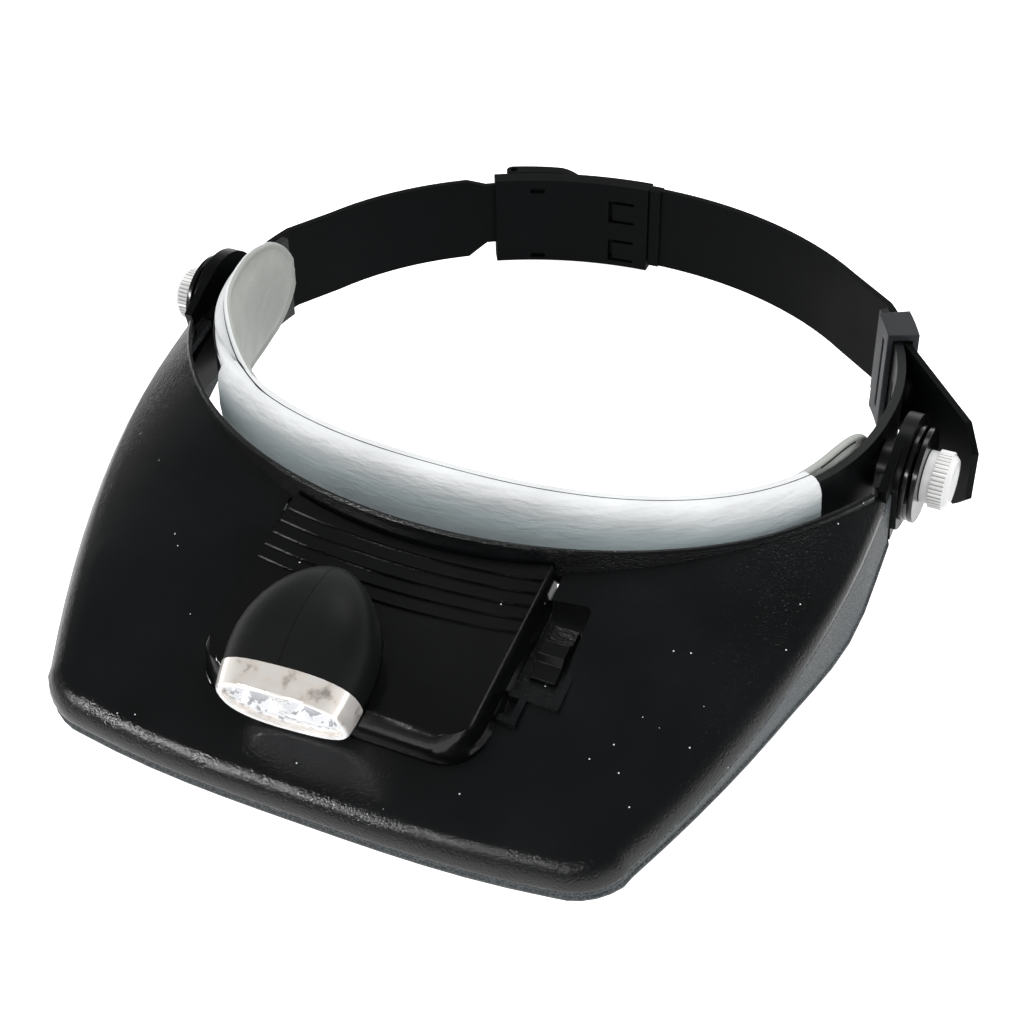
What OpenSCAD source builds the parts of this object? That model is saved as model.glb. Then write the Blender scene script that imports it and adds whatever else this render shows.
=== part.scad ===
// Lighted headband magnifier: a padded headband carries a tilting eyeshade with a
// clear lens plate under it and a battery lamp on top of it.
// Millimetres. Head coordinates: -Y is forward, +Z is up, +X is the picture's right (the
// wearer's left), and the origin is the centre of the head opening at the strap's lower
// edge. Left and right in the names are the picture's. stand() tips everything so that
// +Z is plumb when the magnifier lies on a table.

/* [Headband] */
// Half the width of the head opening
ring_half_w = 88.8; // [80:0.2:98]
// Depth of the head opening behind the ears
ring_rear = 79.6; // [72:0.2:90]
// Depth of the head opening ahead of the ears
ring_front = 66.8; // [60:0.2:76]
// Squareness of the brow curve, 2 is a plain ellipse
brow_power = 2.4; // [2:0.1:3]
// Height of the band and of the strap
strap_h = 25; // [20:0.5:30]
// Thickness of the rear strap
strap_t = 1.8; // [1.4:0.1:2.4]
// Thickness of the front band
band_t = 2.2; // [1.8:0.1:3]
// Ring angle where the front band ends on the right
band_end_right = 33; // [29:1:40]
// Ring angle where the front band ends on the left
band_end_left = 171; // [166:1:174]

/* [Pad] */
// Thickness of the lining at its fattest
lining_t = 4.2; // [3:0.1:6]
// Height of the lining across the brow
lining_h = 24.5; // [20:0.5:28]
// Height of the lining's end lobe on the left
lobe_left_h = 34; // [28:0.5:38]
// Height of the lining's end lobe on the right
lobe_right_h = 29; // [26:0.5:36]
// Thickness of the outer flap
flap_t = 1.2; // [0.8:0.1:2]
// Ring angle of the flap's cut edge, measured from straight ahead
flap_half_angle = 64; // [50:1:70]

/* [Strap ends] */
// Height of the tongue that enters the buckle
tongue_h = 19; // [15:0.5:20]
// Reach of the free tail past the keeper
tail_reach = 40; // [30:1:46]
// Outward splay of the free tail from the ring's tangent
tail_splay = 18; // [13:0.5:20]
// Ring angle of the middle of the keeper
keeper_angle = 25.5; // [24:0.5:27]
// Length of the keeper along the strap
keeper_len = 12; // [9:0.5:14]

/* [Buckle] */
// Ring angle where the buckle starts, on the right strap's side
buckle_start = 93.2; // [91:0.5:96]
// Ring angle where the buckle ends, on the left strap's side
buckle_end = 123.3; // [118:0.5:126]
// Wall of the buckle
buckle_wall = 1.2; // [1:0.1:1.6]
// Height of the buckle
buckle_h = 26.8; // [25:0.1:30]
// Thickness of the clamping lever at its hump
lever_t = 4.2; // [3.5:0.1:5]

/* [Pivot] */
// Distance of the pivot ahead of the ring's widest place
pivot_ahead = 8.2; // [6:0.1:11]
// Height of the pivot above the strap's lower edge
pivot_z = 14; // [12:0.5:15]
// Radius of the pivot bolt
bolt_r = 2.5; // [2:0.1:3]
// Running gap round the bolt
bolt_gap = 0.08; // [0.05:0.01:0.1]
// Radius of the eyeshade's ear
ear_r = 14.6; // [14:0.1:16]
// Radius of the friction discs
disc_r = 12; // [11:0.1:13.5]
// Radius of the knob's knurled drum
knob_r = 7.3; // [6.8:0.1:8.6]
// Number of flutes round the knob
knob_flutes = 40; // [24:1:48]

/* [Eyeshade] */
// Droop of the eyeshade's top from the strap's plane
visor_droop = 14.77; // [10:0.01:20]
// Half the width of the eyeshade at the pivots
visor_half_w = 97.3; // [96:0.1:100]
// Reach of the eyeshade ahead of the pivot, along its top
visor_reach = 138.6; // [130:0.1:145]
// How much each side draws in towards the front
side_draw = 22.6; // [18:0.1:28]
// Radius of the front corners in plan
front_corner_r = 17; // [12:0.5:22]
// Height of the eyeshade's side crease above the pivot
crease_z = 8.1; // [7:0.1:9]
// Slope of the crown, rise per millimetre back from the front edge
crown_slope = 0.13; // [0.08:0.005:0.15]
// Wall of the eyeshade
visor_t = 2.2; // [1.8:0.1:2.6]
// Radius of the rounded top edge at the front
front_edge_r = 5.2; // [3.5:0.1:5.6]
// Height of the raised rear lip above the strap's lower edge
lip_top = 19.8; // [19:0.1:21]
// Thickness of the raised rear lip
lip_t = 2.3; // [1.8:0.1:3]
// Half the width of the rear cut-out
lip_half_w = 99; // [98:0.1:101]
// Depth of the rear cut-out ahead of the ring's centre
lip_depth = 80.3; // [78:0.1:84]
// Wall of the textured skirt
skirt_t = 1.8; // [1.5:0.1:2]

/* [Lens plate] */
// Width of the lens plate
lens_w = 104; // [96:1:108]
// Height of the lens plate
lens_h = 36; // [34:0.5:40]
// Thickness of the lens plate
lens_t = 3; // [2.4:0.1:3.4]
// Clearance of the lens plate ahead of the battery door's hinge
lens_clear = 10.4; // [9.5:0.1:12]
// Diameter of each thick lens zone
lens_zone_d = 33; // [28:1:34]
// Distance between the two lens zones' centres
lens_zone_pitch = 50; // [44:1:56]

/* [Light box] */
// Width of the light box at its foot
box_w = 72; // [70:0.5:74]
// Length of the light box from the lip forwards
box_len = 52.6; // [50:0.2:54]
// Height of the light box's top above the pivot
box_top = 19.9; // [19:0.1:21]
// Wall of the light box
box_t = 1.7; // [1.4:0.1:2]
// Corner radius at the front of the light box
box_corner_r = 10; // [7:0.5:12]
// Radius of the light box's front top edge
box_edge_r = 6.5; // [3:0.5:7]
// Number of grip ribs
rib_count = 5; // [3:1:6]
// Spacing of the grip ribs
rib_pitch = 3.75; // [3.2:0.05:4]
// Forward bow of each grip rib
rib_bow = 2.7; // [1.5:0.1:3.5]
// Diameter of a battery cell
cell_d = 10.4; // [10:0.1:10.5]
// Length of a battery cell
cell_len = 44.5; // [43:0.1:45]

/* [Switch] */
// Length of the switch recess
recess_len = 25; // [22:0.5:27]
// Width of the switch recess
recess_w = 10.4; // [8:0.1:11]
// Depth of the switch recess
recess_depth = 3; // [2:0.1:3.4]
// Travel of the switch slider each way
switch_travel = 3; // [2:0.5:4]

/* [Lamp] */
// Distance of the lamp's middle to the side of the eyeshade's centre line
lamp_side = 6.4; // [4:0.1:8]
// Distance of the lamp's rim ahead of the pivot
lamp_ahead = 124.8; // [122:0.1:126]
// Height of the lamp's rim centre above the pivot
lamp_z = 21.9; // [21.4:0.1:23]
// Nose-down pitch of the lamp from the eyeshade's top
lamp_pitch = 10; // [6:0.5:14]
// Turn of the lamp's rear end to the side
lamp_yaw = 3.5; // [0:0.5:5]
// Width of the lamp's rim
lamp_w = 31.4; // [30:0.1:33]
// Height of the lamp's rim
lamp_h = 22.5; // [21:0.1:23]
// Length of the lamp from the rim to its rounded back
lamp_len = 36; // [33:0.5:38]
// Width of the chrome band
bezel_len = 6; // [5:0.1:7]
// Wall of the lamp's shells
lamp_t = 1.6; // [1.4:0.1:2]
// Distance between the two light-emitting diodes
led_pitch = 13.4; // [12:0.1:14]
// Upward swing of the lamp
lamp_swing = 25; // [15:1:25]

/* [Hidden] */

// Gap left between curved neighbours that don't move on each other
seat_gap = 0.3;
// Overlap that joins two shapes of one solid
weld = 0.2;
pivot_y = -pivot_ahead;

// Materials' colours
black = "#1c1d1f";
slate = "#33383d";
grey_leather = "#b9bdbe";
granite = "#5b6064";
white_nylon = "#eef0ef";
steel = "#b8bbbe";
chrome_colour = "#d9d6d1";
brass_colour = "#c8a24a";

// Headband ring: an ellipse behind the ears, a squarer curve across the brow.
// Angles run from the right ear (0) round the back (90) and the left ear (180)
// to straight ahead (270).
function signed_power(v, e) = sign(v)*pow(abs(v), e);
function ring_base(a) = sin(a) >= 0
    ? [ring_half_w*cos(a), ring_rear*sin(a)]
    : [ring_half_w*signed_power(cos(a), 2/brow_power),
       ring_front*signed_power(sin(a), 2/brow_power)];
function unit(v) = v/norm(v);
function ring_normal(a) = sin(a) >= 0
    ? unit([ring_rear*cos(a), ring_half_w*sin(a)])
    : unit([signed_power(cos(a), 2 - 2/brow_power)/ring_half_w,
            signed_power(sin(a), 2 - 2/brow_power)/ring_front]);
function ring_point(a, off) = ring_base(a) + off*ring_normal(a);
function ring_path(a0, a1, off, step = 3) =
    let(n = max(1, ceil(abs(a1 - a0)/step)))
    [for (i = [0:n]) ring_point(a0 + (a1 - a0)*i/n, off)];
function reversed(list) = [for (i = [len(list) - 1:-1:0]) list[i]];

// Curved plate that follows the ring between two angles and two offsets
module ring_strip(a0, a1, off0, off1, z0, z1, step = 3) {
    translate([0, 0, z0])
        linear_extrude(z1 - z0)
            polygon(concat(ring_path(a0, a1, off0, step),
                           reversed(ring_path(a0, a1, off1, step))));
}

// Sweeps closed rings of equal length into one solid, with flat ends or fanned ones
module loft(rings, fanned = false) {
    n = len(rings[0]);
    last = (len(rings) - 1)*n;
    points = [for (r = rings) each r];
    sides = [for (k = [0:len(rings) - 2]) for (i = [0:n - 1])
        let(a = k*n + i, b = k*n + (i + 1)%n)
        each [[a, b, b + n], [a, b + n, a + n]]];
    caps = fanned
        ? [for (i = [1:n - 2]) each [[0, i + 1, i], [last, last + i, last + i + 1]]]
        : [[for (i = [n - 1:-1:0]) i], [for (i = [0:n - 1]) last + i]];
    polyhedron(points, concat(sides, caps), convexity = 8);
}

// Closed oval with square shoulders, in the plane across Y at distance y
function oval_ring(y, half_w, up, down, power, n = 32, x0 = 0, z0 = 0) =
    [for (i = [0:n - 1])
        let(a = 360*i/n, h = sin(a) >= 0 ? up : down)
        [x0 + half_w*signed_power(cos(a), 2/power), y, z0 + h*signed_power(sin(a), 2/power)]];

// The cells lie behind the lip, and the lens plate stands ahead of their door's hinge
box_back_y = plate_y(-lip_depth, lip_top) + 0.9;
cell_first_y = box_back_y - 18.4;
cell_y = [cell_first_y, cell_first_y - cell_d - 1.2];
well_front = cell_y[1] - cell_d/2 - 0.8;
well_back = cell_y[0] + cell_d/2 + 0.8;
hinge_r = 1.8;
hinge_y = well_front - 3.4;
lens_ahead = lens_clear + hinge_r - hinge_y;

// Resting attitude: the lens plate's lower edge and the buckle stand on one level floor
box_foot = crease_z - 2.4;
tray_top = box_foot - 0.1;
tray_floor_t = 1.6;
frame_top = tray_top - tray_floor_t - 0.15;
frame_bridge = 1.8;
lens_foot_z = frame_top - frame_bridge - lens_h;
lens_foot = [pivot_y - lens_ahead*cos(visor_droop) - lens_foot_z*sin(visor_droop),
             pivot_z - lens_ahead*sin(visor_droop) + lens_foot_z*cos(visor_droop)];
buckle_low = -1.6;
buckle_foot = [ring_rear + strap_t + 1.2, buckle_low];
stand_tilt = atan((buckle_foot[1] - lens_foot[1])/(buckle_foot[0] - lens_foot[0]));

module stand() {
    rotate([-stand_tilt, 0, 0]) children();
}

// Eyeshade coordinates: origin on the pivot axis, Y along its top, Z square to it
module in_visor() {
    stand() translate([0, pivot_y, pivot_z]) rotate([visor_droop, 0, 0]) children();
}

// Lamp coordinates: origin at the rim's centre, Y back along the lamp
module at_lamp() {
    translate([-lamp_side, -lamp_ahead, lamp_z]) rotate([lamp_pitch, 0, lamp_yaw]) children();
}
module in_lamp() {
    in_visor() at_lamp() children();
}

// Repeats a right-hand piece on the left
module mirrored_side(side) {
    if (side > 0) children();
    else mirror([1, 0, 0]) children();
}

// Headband pieces

rivet_angles = [172.6, 176.3];
rivet_r = 1.6;
module on_ring(a) {
    translate([ring_point(a, 0)[0], ring_point(a, 0)[1], strap_h/2])
        rotate([0, 0, atan2(ring_normal(a)[1], ring_normal(a)[0])]) rotate([0, 90, 0]) children();
}
module rivet_holes() {
    for (a = rivet_angles) on_ring(a)
        cylinder(h = 14, r = rivet_r + 0.05, center = true, $fn = 32);
}
bolt_seat = ring_half_w + 0.9;
bolt_head_r = 5;
bolt_head_t = 1;

module front_band() {
    color(black) stand() difference() {
        ring_strip(band_end_left, 360 + band_end_right, 0, band_t, 0, strap_h, 3);
        for (side = [-1, 1]) mirrored_side(side)
            translate([0, pivot_y, pivot_z]) rotate([0, 90, 0]) {
                cylinder(h = bolt_seat + 10, r = bolt_r + bolt_gap, $fn = 48);
                cylinder(h = bolt_seat, r = bolt_head_r + 0.1, $fn = 48);
            }
        rivet_holes();
        for (s = [0:2])
            ring_strip(band_end_right - 7 - s*4, band_end_right - 5.6 - s*4,
                       -1, band_t + 1, strap_h/2 - 3, strap_h/2 + 3, 2);
    }
}

// Lining: pillowed section that grows into a tall round lobe at each end
lining_left = 172.6;
lining_right = 357;
lining_steps = 46;
function lobe_blend(u) = let(s = min(u, 1 - u)*lining_steps/9) s >= 1 ? 0 : 1 - s*s*(3 - 2*s);
function lobe_end(u) = let(s = min(1, min(u, 1 - u)*lining_steps/4)) sqrt(max(0, 1 - (1 - s)*(1 - s)));
lining_mid = 12.6;
function lobe_h(u) = u < 0.5 ? lobe_left_h : lobe_right_h;
function lining_half_h(u) = (lining_h + (lobe_h(u) - lining_h)*lobe_blend(u))/2
    *max(0.3, lobe_end(u));
function lining_mid_z(u) = lining_mid + (lobe_h(u)/2 - lining_mid)*lobe_blend(u);
function lining_ring(u) =
    let(a = lining_left + (lining_right - lining_left)*u,
        t = lining_t*(0.35 + 0.65*lobe_end(u)),
        c = ring_point(a, -seat_gap - t/2),
        n = ring_normal(a))
    [for (i = [0:11])
        let(b = 30*i,
            d = t/2*signed_power(cos(b), 0.8),
            z = lining_half_h(u)*signed_power(sin(b), 0.55))
        [c[0] + n[0]*d, c[1] + n[1]*d, lining_mid_z(u) + z]];

module forehead_pad() {
    color(grey_leather) stand()
        loft([for (k = [0:lining_steps]) lining_ring(k/lining_steps)]);
}

// Flap: folds over the band's top edge and hangs down its outer face
flap_steps = 40;
flap_section = [
    [-seat_gap + 0.1, strap_h + 0.4],
    [band_t + 0.35, strap_h + 0.4],
    [band_t + 0.35, 1.6],
    [band_t + 0.35 + flap_t, 1.2],
    [band_t + 0.5 + flap_t, strap_h/2],
    [band_t + 0.35 + flap_t, strap_h + 0.2],
    [band_t*0.8, strap_h + 0.4 + flap_t],
    [-seat_gap + 0.1, strap_h + 0.4 + flap_t]];
function flap_ring(a) = [for (p = flap_section)
    let(q = ring_point(a, p[0])) [q[0], q[1], p[1]]];

module pad_flap() {
    color(grey_leather) stand()
        loft([for (k = [0:flap_steps])
            flap_ring(270 - flap_half_angle + 2*flap_half_angle*k/flap_steps)]);
}

// Straps

tongue_z = 4.2;
neck_angle = buckle_end + 1.8;
neck_len = 5.6;
strap_left_start = 179;
strap_lap = band_t + seat_gap;

// Cuts one edge of the strap back to the tongue, with a slope at the shoulder
module neck_cut(edge, foot) {
    far = edge + sign(edge)*4;
    run = neck_len*(far - foot)/(edge - foot);
    on_ring(neck_angle) translate([0, 0, -20]) linear_extrude(30)
        polygon([[foot, -40], [foot, 0], [far, run], [far, -40]]);
}

module strap_left() {
    color(slate) stand() difference() {
        union() {
            linear_extrude(strap_h)
                polygon(concat(
                    ring_path(buckle_end - 14, 158, 0),
                    ring_path(band_end_left - 3, strap_left_start, strap_lap, 2),
                    reversed(concat(
                        ring_path(buckle_end - 14, 158, strap_t),
                        ring_path(band_end_left - 3, strap_left_start, strap_lap + strap_t, 2)))));
        }
        rivet_holes();
        neck_cut(-strap_h/2, strap_h/2 - tongue_z - tongue_h);
        neck_cut(strap_h/2, strap_h/2 - tongue_z);
        for (k = [0:5])
            ring_strip(buckle_end - 12.4 + k*1.6, buckle_end - 11.7 + k*1.6,
                       strap_t - 0.5, strap_t + 1, -1, strap_h + 1, 2);
    }
}

tail_start = keeper_angle - 5.5;
tail_base = ring_point(tail_start, strap_lap + strap_t/2);
tail_heading = atan2(-ring_normal(tail_start)[0], ring_normal(tail_start)[1]) + tail_splay;
tail_tip = tail_base + tail_reach*[cos(tail_heading), sin(tail_heading)];
function along_tail(d) = tail_base + d*[cos(tail_heading), sin(tail_heading)];
function beside_tail(d, off) = along_tail(d) + off*[-sin(tail_heading), cos(tail_heading)];
collar_t = 0.8;
collar_angle = 2;
right_end_neck = 1.2;
// Angle where the plain strap ends inside its collar, and how far the tongue is thinned
strap_right_end = buckle_start - seat_gap/2 - 0.6;
tongue_thin = 0.05;

module strap_right() {
    color(slate) stand() difference() {
        union() {
            linear_extrude(strap_h)
                polygon(concat(
                    ring_path(strap_right_end, 46, 0),
                    ring_path(keeper_angle + 9, tail_start + 1, strap_lap, 2),
                    [beside_tail(tail_reach, -strap_t/2), beside_tail(tail_reach, strap_t/2)],
                    reversed(concat(
                        ring_path(strap_right_end, 46, strap_t),
                        ring_path(keeper_angle + 9, tail_start + 1, strap_lap + strap_t, 2)))));
            ring_strip(buckle_start - seat_gap - collar_angle, buckle_start - seat_gap/2,
                       -collar_t, strap_t + collar_t, 0.1, strap_h - 0.1, 2);
            ring_strip(buckle_start - 1, buckle_start + 9, tongue_thin, strap_t - tongue_thin,
                       right_end_neck, strap_h - 1.8, 2);
        }
        for (z = [0, strap_h])
            translate([tail_tip[0], tail_tip[1], z]) rotate([0, 0, tail_heading])
                rotate([0, 45, 0]) cube([8, 12, 8], center = true);
    }
}

keeper_half = keeper_len/2/ring_half_w*180/PI;
module strap_keeper() {
    color(slate) stand() difference() {
        ring_strip(keeper_angle - keeper_half, keeper_angle + keeper_half,
                   -1.9, strap_lap + strap_t + 2, -2.2, strap_h + 2.2, 2);
        ring_strip(keeper_angle - keeper_half - 2, keeper_angle + keeper_half + 2,
                   -seat_gap, strap_lap + strap_t + seat_gap, -seat_gap, strap_h + seat_gap, 2);
        ring_strip(keeper_angle - 1, keeper_angle + 0.2, -3, -0.1, 2, strap_h - 2, 2);
    }
}

module strap_rivets() {
    color(steel) stand() for (a = rivet_angles) on_ring(a) {
        translate([0, 0, 0.1 - seat_gap])
            cylinder(h = strap_lap + strap_t + seat_gap + weld, r = rivet_r, $fn = 32);
        translate([0, 0, strap_lap + strap_t + 0.15])
            cylinder(h = 0.9, r1 = rivet_r + 1.4, r2 = rivet_r + 0.7, $fn = 32);
    }
}

// Buckle

channel_in = -0.25;
channel_out = strap_t + 0.35;
buckle_in = channel_in - buckle_wall;
buckle_out = channel_out + buckle_wall;
lever_angle = buckle_end - 3.8;
lever_off = buckle_out + 2.4;
lever_axis = ring_point(lever_angle, lever_off);
lever_end_angle = buckle_start + 10.6;
lug_z = [4.5, 17.5];
lug_h = 3.6;
lever_pin_r = 1;
lever_top = 25.2;

module buckle_housing() {
    color(slate) stand() difference() {
        union() {
            ring_strip(buckle_start, buckle_end, buckle_in, buckle_out,
                       buckle_low, buckle_low + buckle_h, 2);
            for (z = lug_z) translate([0, 0, z]) {
                translate([lever_axis[0], lever_axis[1], 0]) cylinder(h = lug_h, r = 2.1, $fn = 48);
                ring_strip(lever_angle - 1.2, lever_angle + 1.2, buckle_out - weld,
                           lever_off, 0, lug_h, 1);
            }
        }
        ring_strip(buckle_start - 2, buckle_end + 2, channel_in, channel_out,
                   0.5, strap_h - 1.2, 2);
        for (z = [0.1, 21.7])
            ring_strip(113.6, 116.4, buckle_in - 1, channel_in + 0.1, z - 0.7, z + 0.7, 2);
        for (z = [3.6, 16.4]) {
            for (dz = [-3.1, 3.1])
                ring_strip(buckle_start + 2.8, buckle_start + 7.8, buckle_in - 1, channel_in + 0.1,
                           z + dz - 0.45, z + dz + 0.45, 2);
            ring_strip(buckle_start + 7, buckle_start + 7.8, buckle_in - 1, channel_in + 0.1,
                       z - 3.1, z + 3.1, 2);
        }
        for (z = lug_z)
            translate([lever_axis[0], lever_axis[1], z - 1])
                cylinder(h = lug_h + 2, r = lever_pin_r + 0.05, $fn = 32);
    }
}

// Lever: a hump in plan, and a tongue with a round end seen from behind
lever_chord = lever_end_angle - lever_angle;
function lever_out(f) = buckle_out + seat_gap + lever_t*(1 - 0.55*pow(f, 2.2));
module buckle_lever() {
    mid = ring_point((lever_angle + lever_end_angle)/2, lever_off);
    turn = atan2(ring_normal((lever_angle + lever_end_angle)/2)[1],
                 ring_normal((lever_angle + lever_end_angle)/2)[0]);
    half_len = norm(ring_point(lever_angle, lever_off) - ring_point(lever_end_angle, lever_off))/2;
    color(slate) stand() difference() {
        intersection() {
            union() {
                linear_extrude(strap_h + 4) polygon(concat(
                    [for (k = [0:8]) ring_point(lever_angle + lever_chord*k/8, buckle_out + seat_gap)],
                    [for (k = [8:-1:0]) ring_point(lever_angle + lever_chord*k/8, lever_out(k/8))]));
                translate([lever_axis[0], lever_axis[1], 0])
                    cylinder(h = strap_h + 4, r = lever_off - buckle_out - seat_gap, $fn = 48);
            }
            translate([mid[0], mid[1], lever_top/2]) rotate([0, 0, turn]) rotate([0, 90, 0])
                union() {
                    translate([0, half_len*0.65, 0])
                        cube([lever_top, half_len*1.5, 40], center = true);
                    intersection() {
                        cube([lever_top, half_len*2, 40], center = true);
                        cylinder(h = 40, r = half_len, center = true, $fn = 64);
                    }
                }
        }
        for (z = lug_z)
            translate([lever_axis[0], lever_axis[1], z - seat_gap]) rotate([0, 0, turn + 8])
                translate([-6, -2.5, 0]) cube([12, 8, lug_h + 2*seat_gap]);
        translate([lever_axis[0], lever_axis[1], -1])
            cylinder(h = strap_h + 6, r = lever_pin_r + 0.05, $fn = 32);
    }
}

module lever_pin() {
    color(steel) stand() translate([lever_axis[0], lever_axis[1], 1.5])
        cylinder(h = lever_top - 3, r = lever_pin_r, $fn = 32);
}

// Pivot stack, from the band outwards along X
band_face = ring_half_w + band_t;
ear_in = visor_half_w - 2.2;
ear_out = ear_in + 3.5;
disc_t = 1.4;
disc_gap = 0.75;
disc_one = ear_out + 0.1;
disc_two = disc_one + disc_t + disc_gap;
knob_in = disc_two + disc_t + 0.15;
collar_len = 2.2;
collar_r = knob_r - 0.7;
drum_len = 3.4;
cap_len = 1.5;
insert_r = 3.9;
bolt_end = knob_in + collar_len + drum_len - 0.6;

module on_pivot(side) {
    stand() mirrored_side(side) translate([0, pivot_y, pivot_z]) rotate([0, 90, 0]) children();
}

module pivot_bolt(side) {
    color(steel) on_pivot(side) {
        translate([0, 0, bolt_seat - bolt_head_t - 0.05])
            cylinder(h = bolt_head_t, r = bolt_head_r, $fn = 48);
        translate([0, 0, bolt_seat - bolt_head_t])
            cylinder(h = bolt_end - bolt_seat + bolt_head_t, r = bolt_r, $fn = 48);
    }
}
module pivot_bolt_left() { pivot_bolt(-1); }
module pivot_bolt_right() { pivot_bolt(1); }

module nylon_washers() {
    color(white_nylon) for (side = [-1, 1]) on_pivot(side) difference() {
        translate([0, 0, band_face + 0.1])
            cylinder(h = ear_in - band_face - 0.2, r = 6.4, $fn = 48);
        cylinder(h = 200, r = bolt_r + bolt_gap, $fn = 48);
    }
}

module friction_discs(side) {
    color(black) on_pivot(side) difference() {
        union() {
            translate([0, 0, disc_one]) cylinder(h = disc_t, r = disc_r, $fn = 64);
            translate([0, 0, disc_one + disc_t - weld])
                cylinder(h = disc_gap + 2*weld, r = disc_r - 4, $fn = 64);
            translate([0, 0, disc_two]) cylinder(h = disc_t, r = disc_r, $fn = 64);
        }
        translate([0, 0, disc_one - 1])
            cylinder(h = 10, r = bolt_r + bolt_gap, $fn = 48);
    }
}
module friction_discs_left() { friction_discs(-1); }
module friction_discs_right() { friction_discs(1); }

// Knob: plain collar, fluted drum and a dished end
flute_depth = 0.35;
function flute_outline() = [for (i = [0:knob_flutes*2 - 1])
    let(r = knob_r - (i%2)*flute_depth, a = 180*i/knob_flutes) r*[cos(a), sin(a)]];
module knob(side) {
    color(white_nylon) on_pivot(side) difference() {
        translate([0, 0, knob_in]) union() {
            cylinder(h = collar_len + weld, r = collar_r, $fn = 64);
            translate([0, 0, collar_len]) linear_extrude(drum_len) polygon(flute_outline());
            translate([0, 0, collar_len + drum_len - weld]) rotate_extrude($fn = 64)
                polygon([[0, 0], [knob_r - 0.5, 0], [knob_r - 0.8, 0.7], [knob_r - 1.6, cap_len],
                         [knob_r - 2.6, cap_len], [knob_r - 3.4, 0.7], [0, 0.5]]);
        }
        translate([0, 0, knob_in - 1])
            cylinder(h = collar_len + drum_len + 0.6, r = insert_r + 0.02, $fn = 48);
    }
}
module knob_left() { knob(-1); }
module knob_right() { knob(1); }

module knob_insert(side) {
    color(brass_colour) on_pivot(side) difference() {
        translate([0, 0, knob_in + 0.1])
            cylinder(h = collar_len + drum_len - 0.6, r = insert_r, $fn = 48);
        translate([0, 0, knob_in - 1])
            cylinder(h = 20, r = bolt_r + bolt_gap, $fn = 48);
    }
}
module knob_insert_left() { knob_insert(-1); }
module knob_insert_right() { knob_insert(1); }

// Eyeshade outline in plan, from the right rear end round the front to the left
shell_rear_y = -17;
end_wall = 1.2;
skirt_rear_y = -12;
side_bend_y = -27.6;
side_power = 1.9;
corner_sweep = [-22, -87];
front_sag = 3.3;
corner_c = [visor_half_w - side_draw - front_corner_r*cos(corner_sweep[0]) + 0.6,
            -visor_reach + front_sag + front_corner_r - 0.1];
side_end_y = corner_c[1] + front_corner_r*sin(corner_sweep[0]);
function side_x(y) = y > side_bend_y ? visor_half_w
    : visor_half_w - side_draw*pow((side_bend_y - y)/(side_bend_y - side_end_y), side_power);
front_half = corner_c[0] + front_corner_r*cos(corner_sweep[1]);
function front_y(x) = -visor_reach + front_sag*pow(abs(x)/front_half, 3);
side_steps = 12;
corner_steps = 6;
front_steps = 6;
function half_outline(rear) = concat(
    [for (i = [0:side_steps])
        let(y = rear + (side_end_y - rear)*i/side_steps) [side_x(y), y]],
    [for (i = [1:corner_steps])
        let(a = corner_sweep[0] + (corner_sweep[1] - corner_sweep[0])*i/corner_steps)
        corner_c + front_corner_r*[cos(a), sin(a)]],
    [for (i = [1:front_steps])
        let(x = front_half*(1 - i/front_steps)) [x, front_y(x)]]);
function full_outline(rear) =
    let(half = half_outline(rear), n = len(half))
    concat(half, [for (i = [n - 2:-1:0]) [-half[i][0], half[i][1]]]);
function outline_normal(path, i) =
    let(a = path[max(0, i - 1)], b = path[min(len(path) - 1, i + 1)], t = unit(b - a))
    i == 0 ? [1, 0] : i == len(path) - 1 ? [-1, 0] : [-t[1], t[0]];
function inset(path, i, d) = path[i] - d*outline_normal(path, i);

// Heights along the eyeshade
crown_power = 4.5;
function crown(x, y) = crown_slope*(y + visor_reach)*
    max(0, 1 - pow(abs(x)/side_x(y), crown_power));
function ease(t) = let(s = min(1, max(0, t))) s*s*(3 - 2*s);
function edge_r(y) = 1.4 + (front_edge_r - 1.4)*ease((side_bend_y - y)/90);
// Lower edge of the glossy top, where the skirt's groove runs
groove_rear = 2.6;
groove_mid = 3.1;
groove_front = 6.2;
function shell_foot(y) = crease_z - max(edge_r(y) + 0.15, groove_rear
    + (groove_mid - groove_rear)*ease((-48 - y)/12)
    + (groove_front - groove_mid)*ease((-90 - y)/46));
// Lower edge of the skirt: low by the ears, arched over the side, low at the front
function bezier(p, t) = p[0]*pow(1 - t, 3) + 3*p[1]*t*pow(1 - t, 2)
    + 3*p[2]*t*t*(1 - t) + p[3]*pow(t, 3);
skirt_curve_y = [-38, -56, -70, -140];
skirt_curve_z = [-19.7, -20.6, -2.8, -1.4];
skirt_rear_foot = -14;
function bezier_solve(y, lo, hi, k) = k == 0 ? (lo + hi)/2
    : bezier(skirt_curve_y, (lo + hi)/2) > y
        ? bezier_solve(y, (lo + hi)/2, hi, k - 1) : bezier_solve(y, lo, (lo + hi)/2, k - 1);
function skirt_foot(y) = y < skirt_curve_y[0]
    ? bezier(skirt_curve_z, bezier_solve(y, 0, 1, 14))
    : skirt_rear_foot + (skirt_curve_z[0] - skirt_rear_foot)*ease(y/skirt_curve_y[0]);

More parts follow.
